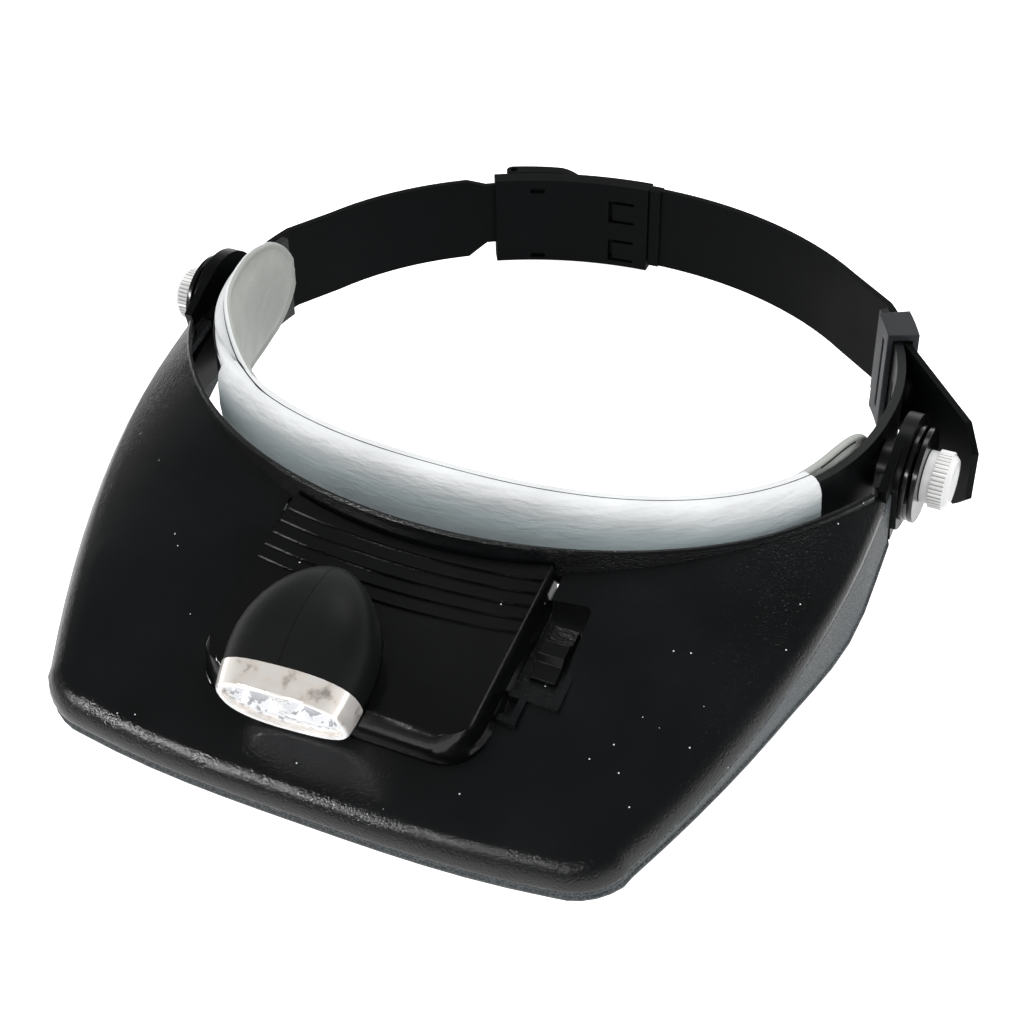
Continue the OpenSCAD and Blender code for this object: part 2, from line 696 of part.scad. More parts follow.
// Glossy top: wall, rounded edge and crowned plate in one lofted skin
plate_scales = [0.955, 0.9, 0.82, 0.7, 0.5, 0.25, 0.08];
plate_centre = [0, -80];
function edge_ring(path, d, turn) = [for (i = [0:len(path) - 1])
    let(y = path[i][1], r = edge_r(y), in = d + (r - d)*(1 - cos(turn)),
        p = inset(path, i, in),
        z = crease_z - r + (r - d)*sin(turn))
    [p[0], p[1], z + (turn/90)*(turn/90)*crown(p[0], p[1])]];
function plate_ring(path, d, s) = [for (i = [0:len(path) - 1])
    let(p = plate_centre + s*(inset(path, i, edge_r(path[i][1])) - plate_centre))
    [p[0], p[1], crease_z - d + crown(p[0], p[1])]];
function foot_ring(path, d) = [for (i = [0:len(path) - 1])
    let(p = inset(path, i, d)) [p[0], p[1], shell_foot(path[i][1])]];
function inner_edge_ring(path, d) = [for (i = [0:len(path) - 1])
    let(r = max(edge_r(path[i][1]), d + 0.4), p = inset(path, i, r))
    [p[0], p[1], crease_z - d + crown(p[0], p[1]) - 0.02]];

module visor_skin() {
    path = full_outline(shell_rear_y);
    inside = full_outline(shell_rear_y - end_wall);
    mid = [for (i = [0:len(inside) - 1])
        let(p = inset(inside, i, visor_t), y = inside[i][1], r = edge_r(y))
        [p[0], p[1], max(shell_foot(y) + 0.1, crease_z - max(r, visor_t + 0.4))]];
    outer = concat(
        [foot_ring(path, 0)],
        [for (turn = [0, 30, 60, 90]) edge_ring(path, 0, turn)],
        [for (s = plate_scales) plate_ring(path, 0, s)]);
    inner = concat(
        [foot_ring(inside, visor_t), mid, inner_edge_ring(inside, visor_t)],
        [for (s = plate_scales) plate_ring(inside, visor_t, s)]);
    loft(concat(reversed(inner), outer), fanned = true);
}

// Height of the crowned plate above the strap's lower edge at a place in the head's plan
function plate_y(y, z) = (y - pivot_y)*cos(visor_droop) + (z - pivot_z)*sin(visor_droop);
function plate_height(x, y, z, k) =
    let(v = plate_y(y, z),
        h = crease_z + crown(x, v),
        next = pivot_z + v*sin(visor_droop) + h*cos(visor_droop))
    k == 0 ? next : plate_height(x, y, next, k - 1);

lip_end_angle = 20.5;
lip_steps = 36;
function lip_point(a, off) = [(lip_half_w + off)*cos(a), (lip_depth + off)*sin(a)];
function lip_ring(a) =
    let(p = lip_point(a, 0), q = lip_point(a, lip_t),
        zp = plate_height(p[0], p[1], 12, 6) - visor_t - weld,
        zq = plate_height(q[0], q[1], 12, 6) - visor_t - weld,
        top = max(lip_top, zp + visor_t + 2*weld))
    [[p[0], p[1], zp], [q[0], q[1], zq], [q[0], q[1], top - 0.5],
     [q[0] - 0.5*cos(a), q[1] - 0.5*sin(a), top], [p[0], p[1], top]];

module to_head() {
    rotate([-visor_droop, 0, 0]) translate([0, -pivot_y, -pivot_z]) children();
}

// Light box outline: square at the back, rounded at the front
box_front_y = box_back_y - box_len;
box_end_y = box_back_y + 4.5;
module box_outline(grow) {
    hull() {
        for (side = [-1, 1]) {
            translate([side*(box_w/2 - box_corner_r), box_front_y + box_corner_r])
                circle(r = box_corner_r + grow, $fn = 48);
            translate([side*(box_w/2 - 1), box_end_y - 1]) circle(r = 1 + grow, $fn = 24);
        }
    }
}
// Everything behind a curve that runs ahead of the lip at the given distance
box_lip_gap = 0.6;
module behind_lip(off) {
    to_head() translate([0, 0, -60]) linear_extrude(120)
        polygon([for (k = [0:36]) lip_point(180 + 5*k, off)]);
}

recess_x = box_w/2 + 0.3;
recess_back_y = box_back_y - 6;
recess_floor = crease_z + crown(recess_x + recess_w/2, recess_back_y - recess_len/2) - recess_depth;
switch_x = recess_x + recess_w/2;
switch_y = recess_back_y - recess_len/2;
notch_w = 3;
notch_len = 5;
notch_y = recess_back_y - recess_len - 1.6 - notch_len;
stem_w = 3;
stem_len = 5;

module visor_shell() {
    color(black) in_visor() difference() {
        union() {
            visor_skin();
            to_head() loft([for (k = [0:lip_steps])
                lip_ring(180 + lip_end_angle + (180 - 2*lip_end_angle)*k/lip_steps)]);
            translate([recess_x - 2, recess_back_y - recess_len - 1.6, recess_floor - 1.8])
                cube([recess_w + 3.6, recess_len + 3.2, recess_depth + 1]);
            translate([recess_x - 2, notch_y - 1.6, recess_floor - 1.8])
                cube([notch_w + 3.4, notch_len + 4, recess_depth + 1]);
        }
        to_head() translate([0, 0, -60]) linear_extrude(120)
            polygon([for (k = [0:72]) lip_point(180 + 180*k/72, lip_t/2)]);
        difference() {
            translate([0, 0, crease_z - 8]) linear_extrude(40) box_outline(0.15);
            behind_lip(lip_t + box_lip_gap);
        }
        translate([box_w/2 - 0.5, notch_y, recess_floor - 0.4]) cube([notch_w + 0.5, notch_len, 16]);
        translate([recess_x, recess_back_y - recess_len, recess_floor])
            linear_extrude(12)
                polygon([[-0.5, 0.5], [1.5, 0], [recess_w - 1.5, 0.6], [recess_w, 2],
                         [recess_w - 0.8, recess_len - 1], [recess_w - 2, recess_len],
                         [-0.5, recess_len - 1]]);
        translate([switch_x - stem_w/2 - 0.2, switch_y - stem_len/2 - switch_travel - 0.3, recess_floor - 4])
            cube([stem_w + 0.4, stem_len + 2*switch_travel + 0.6, 8]);
    }
}

// Textured skirt: tongue behind the shell's wall, plain face, bead along the foot
function skirt_draft(y) = 0.3 + 1.1*ease((side_bend_y - y)/50);
function skirt_ring(path, i) =
    let(y = path[i][1], top = shell_foot(y) - 0.25, foot = skirt_foot(y),
        tongue = min(top + 2.4, crease_z - max(edge_r(y), visor_t + 0.4) - 0.1),
        in = skirt_draft(y)*(top - foot)/12,
        spots = [[0.35, top], [0, top - 0.8], [in, foot + 1.3], [in - 0.5, foot + 0.9],
                 [in - 0.5, foot], [in + skirt_t, foot], [in*0.3 + skirt_t, top - 3], [3.9, top - 2],
                 [3.9, tongue], [visor_t + 0.3, tongue], [visor_t + 0.3, top]])
    [for (s = spots) let(p = inset(path, i, s[0])) [p[0], p[1], s[1]]];

module visor_skirt() {
    path = full_outline(skirt_rear_y);
    color(granite) in_visor()
        loft([for (i = [0:len(path) - 1]) skirt_ring(path, i)]);
}

// Ears: a disc round the bolt, a web up to the top's rear corner, a plate inside the skirt
lap_x = [ear_in - 2.2, ear_in - 0.4];
lap_rear_y = -7.5;
module visor_ear(side) {
    color(black) in_visor() mirrored_side(side) difference() {
        union() {
            translate([ear_in, 0, 0]) rotate([0, 90, 0])
                cylinder(h = ear_out - ear_in, r = ear_r, $fn = 64);
            translate([ear_in, 0, 0]) rotate([90, 0, 90]) linear_extrude(2.2)
                polygon([[-0.5, ear_r - 0.05], [-8, ear_r - 1.1], [shell_rear_y + 0.15, ear_r - 3.2],
                         [shell_rear_y + 0.15, crease_z - 1], [skirt_rear_y + 0.2, crease_z - 1.4],
                         [skirt_rear_y + 0.2, -ear_r + 1.4], [0, -ear_r + 0.1]]);
            translate([lap_x[0], 0, 0]) rotate([90, 0, 90]) linear_extrude(lap_x[1] - lap_x[0])
                polygon([[lap_rear_y, 2.2], [shell_rear_y, 2.2], [-30, 0.5],
                         [-30, -9], [-14, -12], [lap_rear_y, -12]]);
            translate([lap_x[0], skirt_rear_y + 0.2, -11])
                cube([ear_in + weld - lap_x[0], lap_rear_y - skirt_rear_y - 0.2, 17]);
        }
        translate([ear_in, skirt_rear_y - 30 + 0.2, -30]) cube([10, 30, 30 + crease_z - 1]);
        translate([ear_in - 10, 0, 0]) rotate([0, 90, 0])
            cylinder(h = 30, r = bolt_r + bolt_gap, $fn = 48);
    }
}
module visor_ear_left() { visor_ear(-1); }
module visor_ear_right() { visor_ear(1); }

// Lens frame: a bar under the plate with a channel at each end
frame_w = lens_w + 11;
frame_d = lens_t + 5;
frame_bar = 4;
cheek_w = 9;
cheek_h = 23;
cheek_x = lens_w/2 + 1;
channel_gap = 0.25;
frame_front = -lens_ahead - frame_d/2;
function under_plate(y) = crease_z - visor_t + crown(cheek_x + cheek_w/2, y) - 0.1;
module lens_frame() {
    color(black) in_visor() difference() {
        union() {
            translate([-frame_w/2, frame_front, frame_top - frame_bar])
                cube([frame_w, frame_d, frame_bar]);
            for (side = [-1, 1]) {
                translate([side*cheek_x - cheek_w/2, frame_front, frame_top - cheek_h])
                    cube([cheek_w, frame_d, cheek_h - 1]);
                translate([side*cheek_x - cheek_w/2, 0, 0]) rotate([90, 0, 90])
                    linear_extrude(cheek_w) polygon([
                        [frame_front, frame_top - 1], [frame_front + frame_d, frame_top - 1],
                        [frame_front + frame_d, under_plate(frame_front + frame_d)],
                        [frame_front, under_plate(frame_front)]]);
            }
        }
        translate([-lens_w/2 - channel_gap, -lens_ahead - lens_t/2 - channel_gap, frame_top - 60])
            cube([lens_w + 2*channel_gap, lens_t + 2*channel_gap, 60 - frame_bridge + 0.1]);
    }
}

module lens_plate() {
    color("#dfe9ee", 0.4) in_visor() translate([0, -lens_ahead, lens_foot_z])
        difference() {
            union() {
                translate([-lens_w/2, -lens_t/2, 0]) cube([lens_w, lens_t, lens_h]);
                for (side = [-1, 1])
                    translate([side*lens_zone_pitch/2, lens_t/2 - weld, lens_h/2 - 1.2])
                        rotate([-90, 0, 0]) rotate_extrude($fn = 96)
                            polygon(concat([[0, 0]], [for (k = [0:8])
                                let(r = lens_zone_d/2*(1 - k/8))
                                [r, weld + 1.5*(1 - pow(2*r/lens_zone_d, 2))]]));
            }
            for (side = [-1, 1])
                translate([side*lens_w/2, 0, 0]) rotate([0, 45, 0])
                    cube([5, 20, 5], center = true);
        }
}

// Light box: drafted walls, rounded front edge and bowed grip ribs
box_draft = 2.2;
function box_section(z, side_in, front_in, n = 8) =
    let(r = max(1, box_corner_r - front_in), w = box_w/2 - side_in, f = box_front_y + front_in)
    concat(
        [[-w + 0.8, box_end_y, z], [w - 0.8, box_end_y, z], [w, box_end_y - 0.8, z]],
        [for (k = [0:n]) let(a = -90*k/n) [w - r + r*cos(a), f + r + r*sin(a), z]],
        [for (k = [0:n]) let(a = 270 - 90*k/n) [-w + r + r*cos(a), f + r + r*sin(a), z]],
        [[-w, box_end_y - 0.8, z]]);
rib_first_y = box_back_y - 4.8;
rib_half = box_w/2 - 2.4;
rib_half_t = 0.55;
rib_h = 0.7;
function rib_y(x) = -rib_bow*(1 - pow(x/rib_half, 2));
box_side_r = 1.5;
box_mid_z = crease_z + 4;

module box_body(t) {
    w = box_draft;
    loft(concat(
        [box_section(box_foot - (t > 0 ? 1 : 0), t, t),
         box_section(box_mid_z, t, t)],
        [for (turn = [0, 30, 60, 90])
            box_section(box_top - t - (box_edge_r - t)*(1 - sin(turn)),
                        t + w*(1 - 0.25*cos(turn)) + (box_side_r - t*0.5)*(1 - cos(turn))*0.5 - 0.6,
                        max(t, t + (box_edge_r - t)*(1 - cos(turn))))]));
}

tilt_back = lamp_len - 15.4;
tilt_up = 6.6;
pivot_lamp = [-lamp_side, -lamp_ahead + tilt_back, lamp_z + tilt_up];
bracket_w = 6;
bracket_len = 9;
pin_r = 1.5;
pin_len = lamp_w*0.57;

screw_spots = [for (side = [-1, 1]) for (y = [box_back_y - 11.2, box_front_y + 9])
    [side*(box_w/2 - 5.2), y]];
box_ahead = lip_t + box_lip_gap + 0.15;
lamp_seat_back = 8.2;
module lamp_seat(wall) {
    at_lamp() loft([lamp_oval(-3, 0.4 + wall, 24),
                    lamp_oval(lamp_seat_back + wall, 1.7 + wall, 24)]);
}

module light_box() {
    color(black) in_visor() difference() {
        union() {
            difference() {
                box_body(0);
                difference() {
                    box_body(box_t);
                    behind_lip(box_ahead + box_t);
                    lamp_seat(box_t);
                }
            }
            for (k = [0:rib_count - 1]) translate([0, rib_first_y - k*rib_pitch, box_top - weld])
                linear_extrude(rib_h + weld, scale = [1, 0.6])
                    polygon(concat(
                        [for (i = [-10:10]) let(x = i/10*rib_half) [x, rib_y(x) + rib_half_t]],
                        [for (i = [10:-1:-10]) let(x = i/10*rib_half) [x, rib_y(x) - rib_half_t]]));
            for (spot = screw_spots) translate([spot[0], spot[1], box_foot])
                cylinder(h = box_top - box_foot - box_t + weld - 0.6, r = 2.4, $fn = 24);
        }
        behind_lip(box_ahead);
        lamp_seat(0);
        for (spot = screw_spots) translate([spot[0], spot[1], box_foot - 1])
            cylinder(h = 9, r = 0.95, $fn = 24);
        translate([pivot_lamp[0] - bracket_w/2 - 0.15, pivot_lamp[1] - bracket_len/2 - 0.15, box_top - 4])
            cube([bracket_w + 0.3, bracket_len + 0.3, 10]);
    }
}

// Battery tray: floor under the box with a well for the two cells
bracket_foot_t = 2;
cell_z = box_top - box_t - bracket_foot_t - 0.6 - cell_d/2;
well_half = cell_len/2 + 4.2;
well_t = 1.4;
door_t = 1.6;
door_top = tray_top - tray_floor_t - 0.2;
door_axis = [hinge_y, door_top - hinge_r];
hinge_lug_x = well_half - 4;
hinge_lug_w = 4;
door_pin_r = 0.8;
module along_door(x0, x1, r) {
    translate([x0, door_axis[0], door_axis[1]]) rotate([0, 90, 0])
        cylinder(h = x1 - x0, r = r, $fn = 32);
}
module battery_tray() {
    color(black) in_visor() difference() {
        union() {
            translate([0, 0, tray_top - tray_floor_t]) linear_extrude(tray_floor_t)
                box_outline(-0.2);
            translate([-well_half - well_t, well_front - well_t, tray_top - tray_floor_t])
                cube([2*(well_half + well_t), well_back - well_front + 2*well_t,
                      cell_z - 2.2 - tray_top + tray_floor_t]);
            for (side = [-1, 1]) {
                along_door(side*hinge_lug_x - hinge_lug_w/2, side*hinge_lug_x + hinge_lug_w/2, hinge_r);
                translate([side*hinge_lug_x - hinge_lug_w/2, door_axis[0] - hinge_r, door_axis[1]])
                    cube([hinge_lug_w, 2*hinge_r, tray_top - tray_floor_t + weld - door_axis[1]]);
            }
        }
        translate([-well_half, well_front, tray_top - tray_floor_t - 1])
            cube([2*well_half, well_back - well_front, 20]);
        behind_lip(box_ahead + 0.1);
        for (spot = screw_spots) translate([spot[0], spot[1], tray_top - 5])
            cylinder(h = 9, r = 1.3, $fn = 24);
        along_door(-well_half, well_half, door_pin_r + 0.05);
    }
}

// Battery door: closes the well from below and hangs from a pin ahead of it
module battery_door() {
    knuckle = hinge_lug_x - hinge_lug_w/2 - 0.3;
    color(black) in_visor() difference() {
        union() {
            translate([-well_half - 1, well_front - 1, door_top - door_t])
                cube([2*well_half + 2, well_back - well_front + 3.5, door_t]);
            along_door(-knuckle, knuckle, hinge_r - 0.1);
            translate([-knuckle, door_axis[0], door_top - door_t])
                cube([2*knuckle, well_front - door_axis[0], door_t - 0.1]);
        }
        for (k = [0:3]) translate([-8, well_back - 2 - k*2, door_top - door_t - 0.4])
            cube([16, 0.9, 0.9]);
        along_door(-well_half, well_half, door_pin_r + 0.05);
    }
}

module door_pin() {
    color(steel) in_visor() along_door(-hinge_lug_x - hinge_lug_w/2, hinge_lug_x + hinge_lug_w/2, door_pin_r);
}

module tray_screws() {
    color(steel) in_visor() for (spot = screw_spots)
        translate([spot[0], spot[1], tray_top - tray_floor_t - 1.3]) {
            cylinder(h = 1.2, r = 2, $fn = 24);
            cylinder(h = 7, r = 0.9, $fn = 24);
        }
}

module battery_cells() {
    color("#3c6e57") in_visor() for (k = [0, 1])
        translate([-cell_len/2, cell_y[k], cell_z]) rotate([0, 90, 0]) {
            cylinder(h = cell_len - 1, r = cell_d/2 - 0.15, $fn = 48);
            translate([0, 0, k == 0 ? cell_len - 1.2 : -0.8]) cylinder(h = 1, r = 1.9, $fn = 32);
        }
}

module coil_spring(r0, r1, wire, len, turns, per_turn = 8) {
    loft([for (k = [0:turns*per_turn])
        let(f = k/(turns*per_turn), a = 360*turns*f, r = r0 + (r1 - r0)*f)
        [for (i = [0:5]) let(b = 60*i)
            [(r + wire*cos(b))*cos(a), (r + wire*cos(b))*sin(a), wire + f*(len - 2*wire) + wire*sin(b)]]]);
}
spring_len = 3;
module contact_springs() {
    color(steel) in_visor() {
        translate([-cell_len/2 - spring_len - 0.1, cell_y[0], cell_z]) rotate([0, 90, 0])
            coil_spring(3.4, 1.6, 0.3, spring_len, 4);
        translate([cell_len/2 - 0.9 + spring_len, cell_y[1], cell_z]) rotate([0, -90, 0])
            coil_spring(3.4, 1.6, 0.3, spring_len, 4);
    }
}

module contact_plates() {
    color(steel) in_visor() for (side = [-1, 1])
        translate([side*(well_half - 0.35) - 0.25, well_front + 0.6, cell_z - 4])
            cube([0.5, well_back - well_front - 1.2, 8]);
}

// Slide switch in the eyeshade's recess
switch_top = recess_floor - 1.9;
module switch_body() {
    color("#26282a") in_visor() difference() {
        translate([switch_x - 3, switch_y - 9, switch_top - 5]) cube([6, 18, 5]);
        translate([switch_x - stem_w/2 - 0.2, switch_y - stem_len/2 - switch_travel - 0.3, switch_top - 3])
            cube([stem_w + 0.4, stem_len + 2*switch_travel + 0.6, 5]);
    }
}

slider_w = 6.4;
slider_len = 15;
slider_h = 3.4;
module switch_slider() {
    color(black) in_visor() translate([switch_x, switch_y, recess_floor + 0.1]) {
        rotate([90, 0, 90]) translate([0, 0, -slider_w/2]) linear_extrude(slider_w)
            polygon([[-slider_len/2, 0], [slider_len/2, 0], [slider_len/2, 1.2], [3.2, 1.4],
                     [1.9, slider_h], [-1.9, slider_h], [-3.2, 1.4], [-slider_len/2, 1.2]]);
        translate([-stem_w/2, -stem_len/2, -3.4]) cube([stem_w, stem_len, 3.6]);
    }
}

// Lamp

lamp_power = 2.6;
function lamp_size(y) =
    let(f = max(0, (y - bezel_len)/(lamp_len - bezel_len)),
        belly = 1 + 0.11*sin(min(180, 180*y/lamp_len)),
        tip = pow(max(0, 1 - pow(f, 2.5)), 0.56))
    belly*tip;
function lamp_oval(y, grow, n = 32) =
    oval_ring(y, lamp_w/2 + grow, lamp_h/2 + grow, lamp_h/2 + grow, lamp_power, n);
function lamp_ring(y, d, n = 32) =
    let(k = lamp_size(y))
    oval_ring(y, max(0.6, lamp_w/2*k - d), max(0.6, lamp_h/2*k - d), max(0.6, lamp_h/2*k - d),
              lamp_power, n);
lamp_stations = [0, 0.15, 0.3, 0.45, 0.58, 0.7, 0.8, 0.88, 0.94, 0.98, 1];
module lamp_form(d) {
    start = bezel_len + 0.05 - (d > 0 ? 1 : 0);
    end = lamp_len - d;
    loft([for (f = lamp_stations) lamp_ring(start + (end - start)*f, d)]);
}
under_gap = 0.5;
tilt_h = pivot_lamp[2] - box_top - under_gap;

module lamp_half(side) {
    color(black) difference() {
        in_lamp() lamp_form(0);
        difference() {
            in_lamp() lamp_form(lamp_t);
            in_visor() translate(pivot_lamp) for (s = [-1, 1])
                translate([s*(bracket_w/2 + 3.7) - 3.5, 0, 0]) {
                    rotate([0, 90, 0]) cylinder(h = 7, r = 4, $fn = 48);
                    translate([2.5, -1, 0]) cube([2, 2, lamp_h]);
                }
        }
        in_lamp() translate([side > 0 ? -50 + 0.05 : -0.05, -5, -40]) cube([50, 80, 80]);
        in_visor() translate(pivot_lamp) {
            translate([-bracket_w/2 - 0.2, 0, 0]) rotate([0, 90, 0])
                cylinder(h = bracket_w + 0.4, r = 5, $fn = 48);
            translate([-pin_len/2 - 0.1, 0, 0]) rotate([0, 90, 0])
                cylinder(h = pin_len + 0.2, r = pin_r + 0.05, $fn = 32);
            for (turn = [0:5:lamp_swing]) rotate([turn, 0, 0])
                translate([-60, turn == 0 ? -19 : -2, -tilt_h - 30]) cube([120, 80, 30]);
            translate([-bracket_w/2 - 0.2, -5, -30]) cube([bracket_w + 0.4, 10, 30]);
        }
    }
}
module lamp_housing_left() { lamp_half(-1); }
module lamp_housing_right() { lamp_half(1); }

module lamp_bracket() {
    color(black) in_visor() translate(pivot_lamp) difference() {
        union() {
            translate([-bracket_w/2, 0, 0]) rotate([0, 90, 0])
                cylinder(h = bracket_w, r = bracket_len/2, $fn = 48);
            translate([-bracket_w/2, -bracket_len/2, -tilt_h - under_gap - 4])
                cube([bracket_w, bracket_len, tilt_h + under_gap + 4]);
            translate([-bracket_w/2 - 2, -bracket_len/2 - 2, box_top - box_t - pivot_lamp[2] - bracket_foot_t - 0.2])
                cube([bracket_w + 4, bracket_len + 4, bracket_foot_t]);
        }
        translate([-bracket_w, 0, 0]) rotate([0, 90, 0])
            cylinder(h = 2*bracket_w, r = pin_r + 0.05, $fn = 32);
    }
}

module lamp_pivot_pin() {
    color(steel) in_visor() translate(pivot_lamp) rotate([0, 90, 0])
        cylinder(h = pin_len, r = pin_r, center = true, $fn = 32);
}

bezel_t = 1.5;
window_in = bezel_t + 0.15;
module lamp_bezel() {
    color(chrome_colour) in_lamp() difference() {
        loft([lamp_oval(-0.4, -1), lamp_oval(-0.6, -0.5), lamp_oval(0, 0),
              lamp_ring(bezel_len/2, -0.1), lamp_ring(bezel_len - 0.05, -0.05)]);
        loft([lamp_oval(-1, -bezel_t), lamp_oval(bezel_len + 1, -bezel_t)]);
    }
}

module lamp_window() {
    color("#e8f2f6", 0.4) in_lamp()
        loft([lamp_oval(0, -window_in), lamp_oval(0.8, -window_in)]);
}

cup_r = 6.2;
module lamp_reflector() {
    color(chrome_colour) in_lamp() difference() {
        loft([lamp_oval(0.95, -window_in), lamp_oval(5.6, -window_in)]);
        for (s = [-1, 1]) translate([s*led_pitch/2, 0.9, 0]) rotate([-90, 0, 0]) rotate_extrude($fn = 48)
            polygon(concat([[0, -1], [cup_r, -1]],
                [for (k = [0:5]) [2.75 + (cup_r - 2.75)*pow(1 - k/5, 0.7), 3.6*k/5]],
                [[2.75, 8], [0, 8]]));
    }
}

module lamp_leds() {
    color("#f4f6f2") in_lamp() for (s = [-1, 1]) translate([s*led_pitch/2, 6.1, 0]) rotate([90, 0, 0]) {
        cylinder(h = 3, r = 2.5, $fn = 32);
        translate([0, 0, 3]) rotate_extrude($fn = 32)
            polygon([[0, 0], [2.5, 0], [2.3, 0.9], [1.6, 1.7], [0.7, 2.1], [0, 2.2]]);
    }
}

board_in = 3;
module led_board() {
    color("#20402c") in_lamp()
        loft([lamp_oval(6.25, -board_in, 24), lamp_oval(7.45, -board_in, 24)]);
}

front_band();
forehead_pad();
pad_flap();
strap_left();
strap_right();
strap_keeper();
strap_rivets();
buckle_housing();
buckle_lever();
lever_pin();
pivot_bolt_left();
pivot_bolt_right();
nylon_washers();
friction_discs_left();
friction_discs_right();
knob_left();
knob_right();
knob_insert_left();
knob_insert_right();
visor_ear_left();
visor_ear_right();
visor_shell();
visor_skirt();
lens_frame();
lens_plate();
light_box();
battery_tray();
battery_door();
door_pin();
tray_screws();
battery_cells();
contact_springs();
contact_plates();
switch_body();
switch_slider();
lamp_bracket();
lamp_pivot_pin();
lamp_housing_left();
lamp_housing_right();
lamp_bezel();
lamp_window();
lamp_reflector();
lamp_leds();
led_board();
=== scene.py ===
import math

import bmesh
import bpy
import numpy as np
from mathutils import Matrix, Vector, noise


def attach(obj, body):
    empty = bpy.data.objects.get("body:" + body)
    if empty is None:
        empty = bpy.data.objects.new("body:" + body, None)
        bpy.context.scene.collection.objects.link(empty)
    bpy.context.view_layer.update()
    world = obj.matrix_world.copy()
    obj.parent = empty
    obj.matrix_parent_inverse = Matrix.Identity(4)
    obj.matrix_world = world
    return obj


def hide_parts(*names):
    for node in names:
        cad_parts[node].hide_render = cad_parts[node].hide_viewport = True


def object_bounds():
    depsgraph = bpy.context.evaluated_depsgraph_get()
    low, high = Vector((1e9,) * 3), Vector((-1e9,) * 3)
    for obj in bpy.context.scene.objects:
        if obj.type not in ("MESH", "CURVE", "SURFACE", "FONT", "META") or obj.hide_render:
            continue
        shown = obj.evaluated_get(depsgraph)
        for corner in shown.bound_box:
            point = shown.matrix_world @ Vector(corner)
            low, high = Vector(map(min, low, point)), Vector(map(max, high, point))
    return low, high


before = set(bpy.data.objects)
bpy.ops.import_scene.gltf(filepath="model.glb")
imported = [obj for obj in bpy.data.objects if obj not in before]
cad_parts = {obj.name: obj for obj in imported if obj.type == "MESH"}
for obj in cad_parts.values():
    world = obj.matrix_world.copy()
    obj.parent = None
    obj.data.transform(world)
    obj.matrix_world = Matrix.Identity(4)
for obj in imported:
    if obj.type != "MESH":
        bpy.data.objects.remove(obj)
cad_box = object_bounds()
bpy.ops.object.select_all(action="DESELECT")

# Camera
# The photograph was taken from above the wearer's left brow, close to the eyeshade's
# front right corner, with a lens a little longer than normal.
photo_lens = bpy.data.cameras.new("photo_camera")
photo_lens.sensor_width = 36
photo_lens.lens = 67.65
photo_lens.clip_start = 0.02
photo_lens.clip_end = 20
camera = bpy.data.objects.new("photo_camera", photo_lens)
camera.location = (0.17055, -0.30777, 0.38192)
camera.rotation_euler = (math.radians(39.3606), math.radians(6.3140), math.radians(24.0234))
bpy.context.scene.collection.objects.link(camera)
bpy.context.scene.camera = camera
bpy.context.scene.view_settings.view_transform = "Standard"

# Table and daylight
# The magnifier stands on the lens plate's edge and on the buckle, on a white table that
# runs out of sight. The sky is overcast; two lamps that only polished skins mirror draw
# the long highlights, and two soft ones light the right side and the back.
table_drop = 0.0002
table_glow, camera_lift = 0.70, 0.27
bpy.ops.mesh.primitive_plane_add(size=6, location=(0, 0, cad_box[0].z - table_drop))
table_top = bpy.context.object
table_top.name = "white_table"


def math_of(tree, operation, *values):
    """The outcome of one sum in a node tree; a value is a node's outlet or a number."""
    step = tree.nodes.new("ShaderNodeMath")
    step.operation = operation
    for socket, value in zip(step.inputs, values):
        if isinstance(value, (int, float)):
            socket.default_value = value
        else:
            tree.links.new(value, socket)
    return step.outputs[0]


def spread(tree, value, from_min, from_max, to_min=0.0, to_max=1.0):
    """A value carried from one range to another and held within it."""
    scale = tree.nodes.new("ShaderNodeMapRange")
    scale.inputs["From Min"].default_value = from_min
    scale.inputs["From Max"].default_value = from_max
    scale.inputs["To Min"].default_value = to_min
    scale.inputs["To Max"].default_value = to_max
    tree.links.new(value, scale.inputs["Value"])
    return scale.outputs[0]


table_paint = bpy.data.materials.new("white_table")
table_paint.use_nodes = True
tree = table_paint.node_tree
tree.nodes.clear()
ray = tree.nodes.new("ShaderNodeLightPath")
matt = tree.nodes.new("ShaderNodeBsdfDiffuse")
matt.inputs["Color"].default_value = (0.86, 0.86, 0.86, 1)
glow = tree.nodes.new("ShaderNodeEmission")
glow.inputs["Color"].default_value = (1, 1, 1, 1)
both = tree.nodes.new("ShaderNodeAddShader")
surface = tree.nodes.new("ShaderNodeOutputMaterial")
in_camera, in_gloss = ray.outputs["Is Camera Ray"], ray.outputs["Is Glossy Ray"]
opaque_view = math_of(tree, "MAXIMUM", in_camera, in_gloss)
any_view = math_of(tree, "MAXIMUM", opaque_view, ray.outputs["Is Transmission Ray"])
seen_lift = math_of(tree, "MULTIPLY", in_camera, camera_lift)
amount = math_of(tree, "MULTIPLY_ADD", any_view, table_glow, seen_lift)
tree.links.new(amount, glow.inputs["Strength"])
tree.links.new(matt.outputs[0], both.inputs[0])
tree.links.new(glow.outputs[0], both.inputs[1])
tree.links.new(both.outputs[0], surface.inputs["Surface"])
table_top.data.materials.append(table_paint)

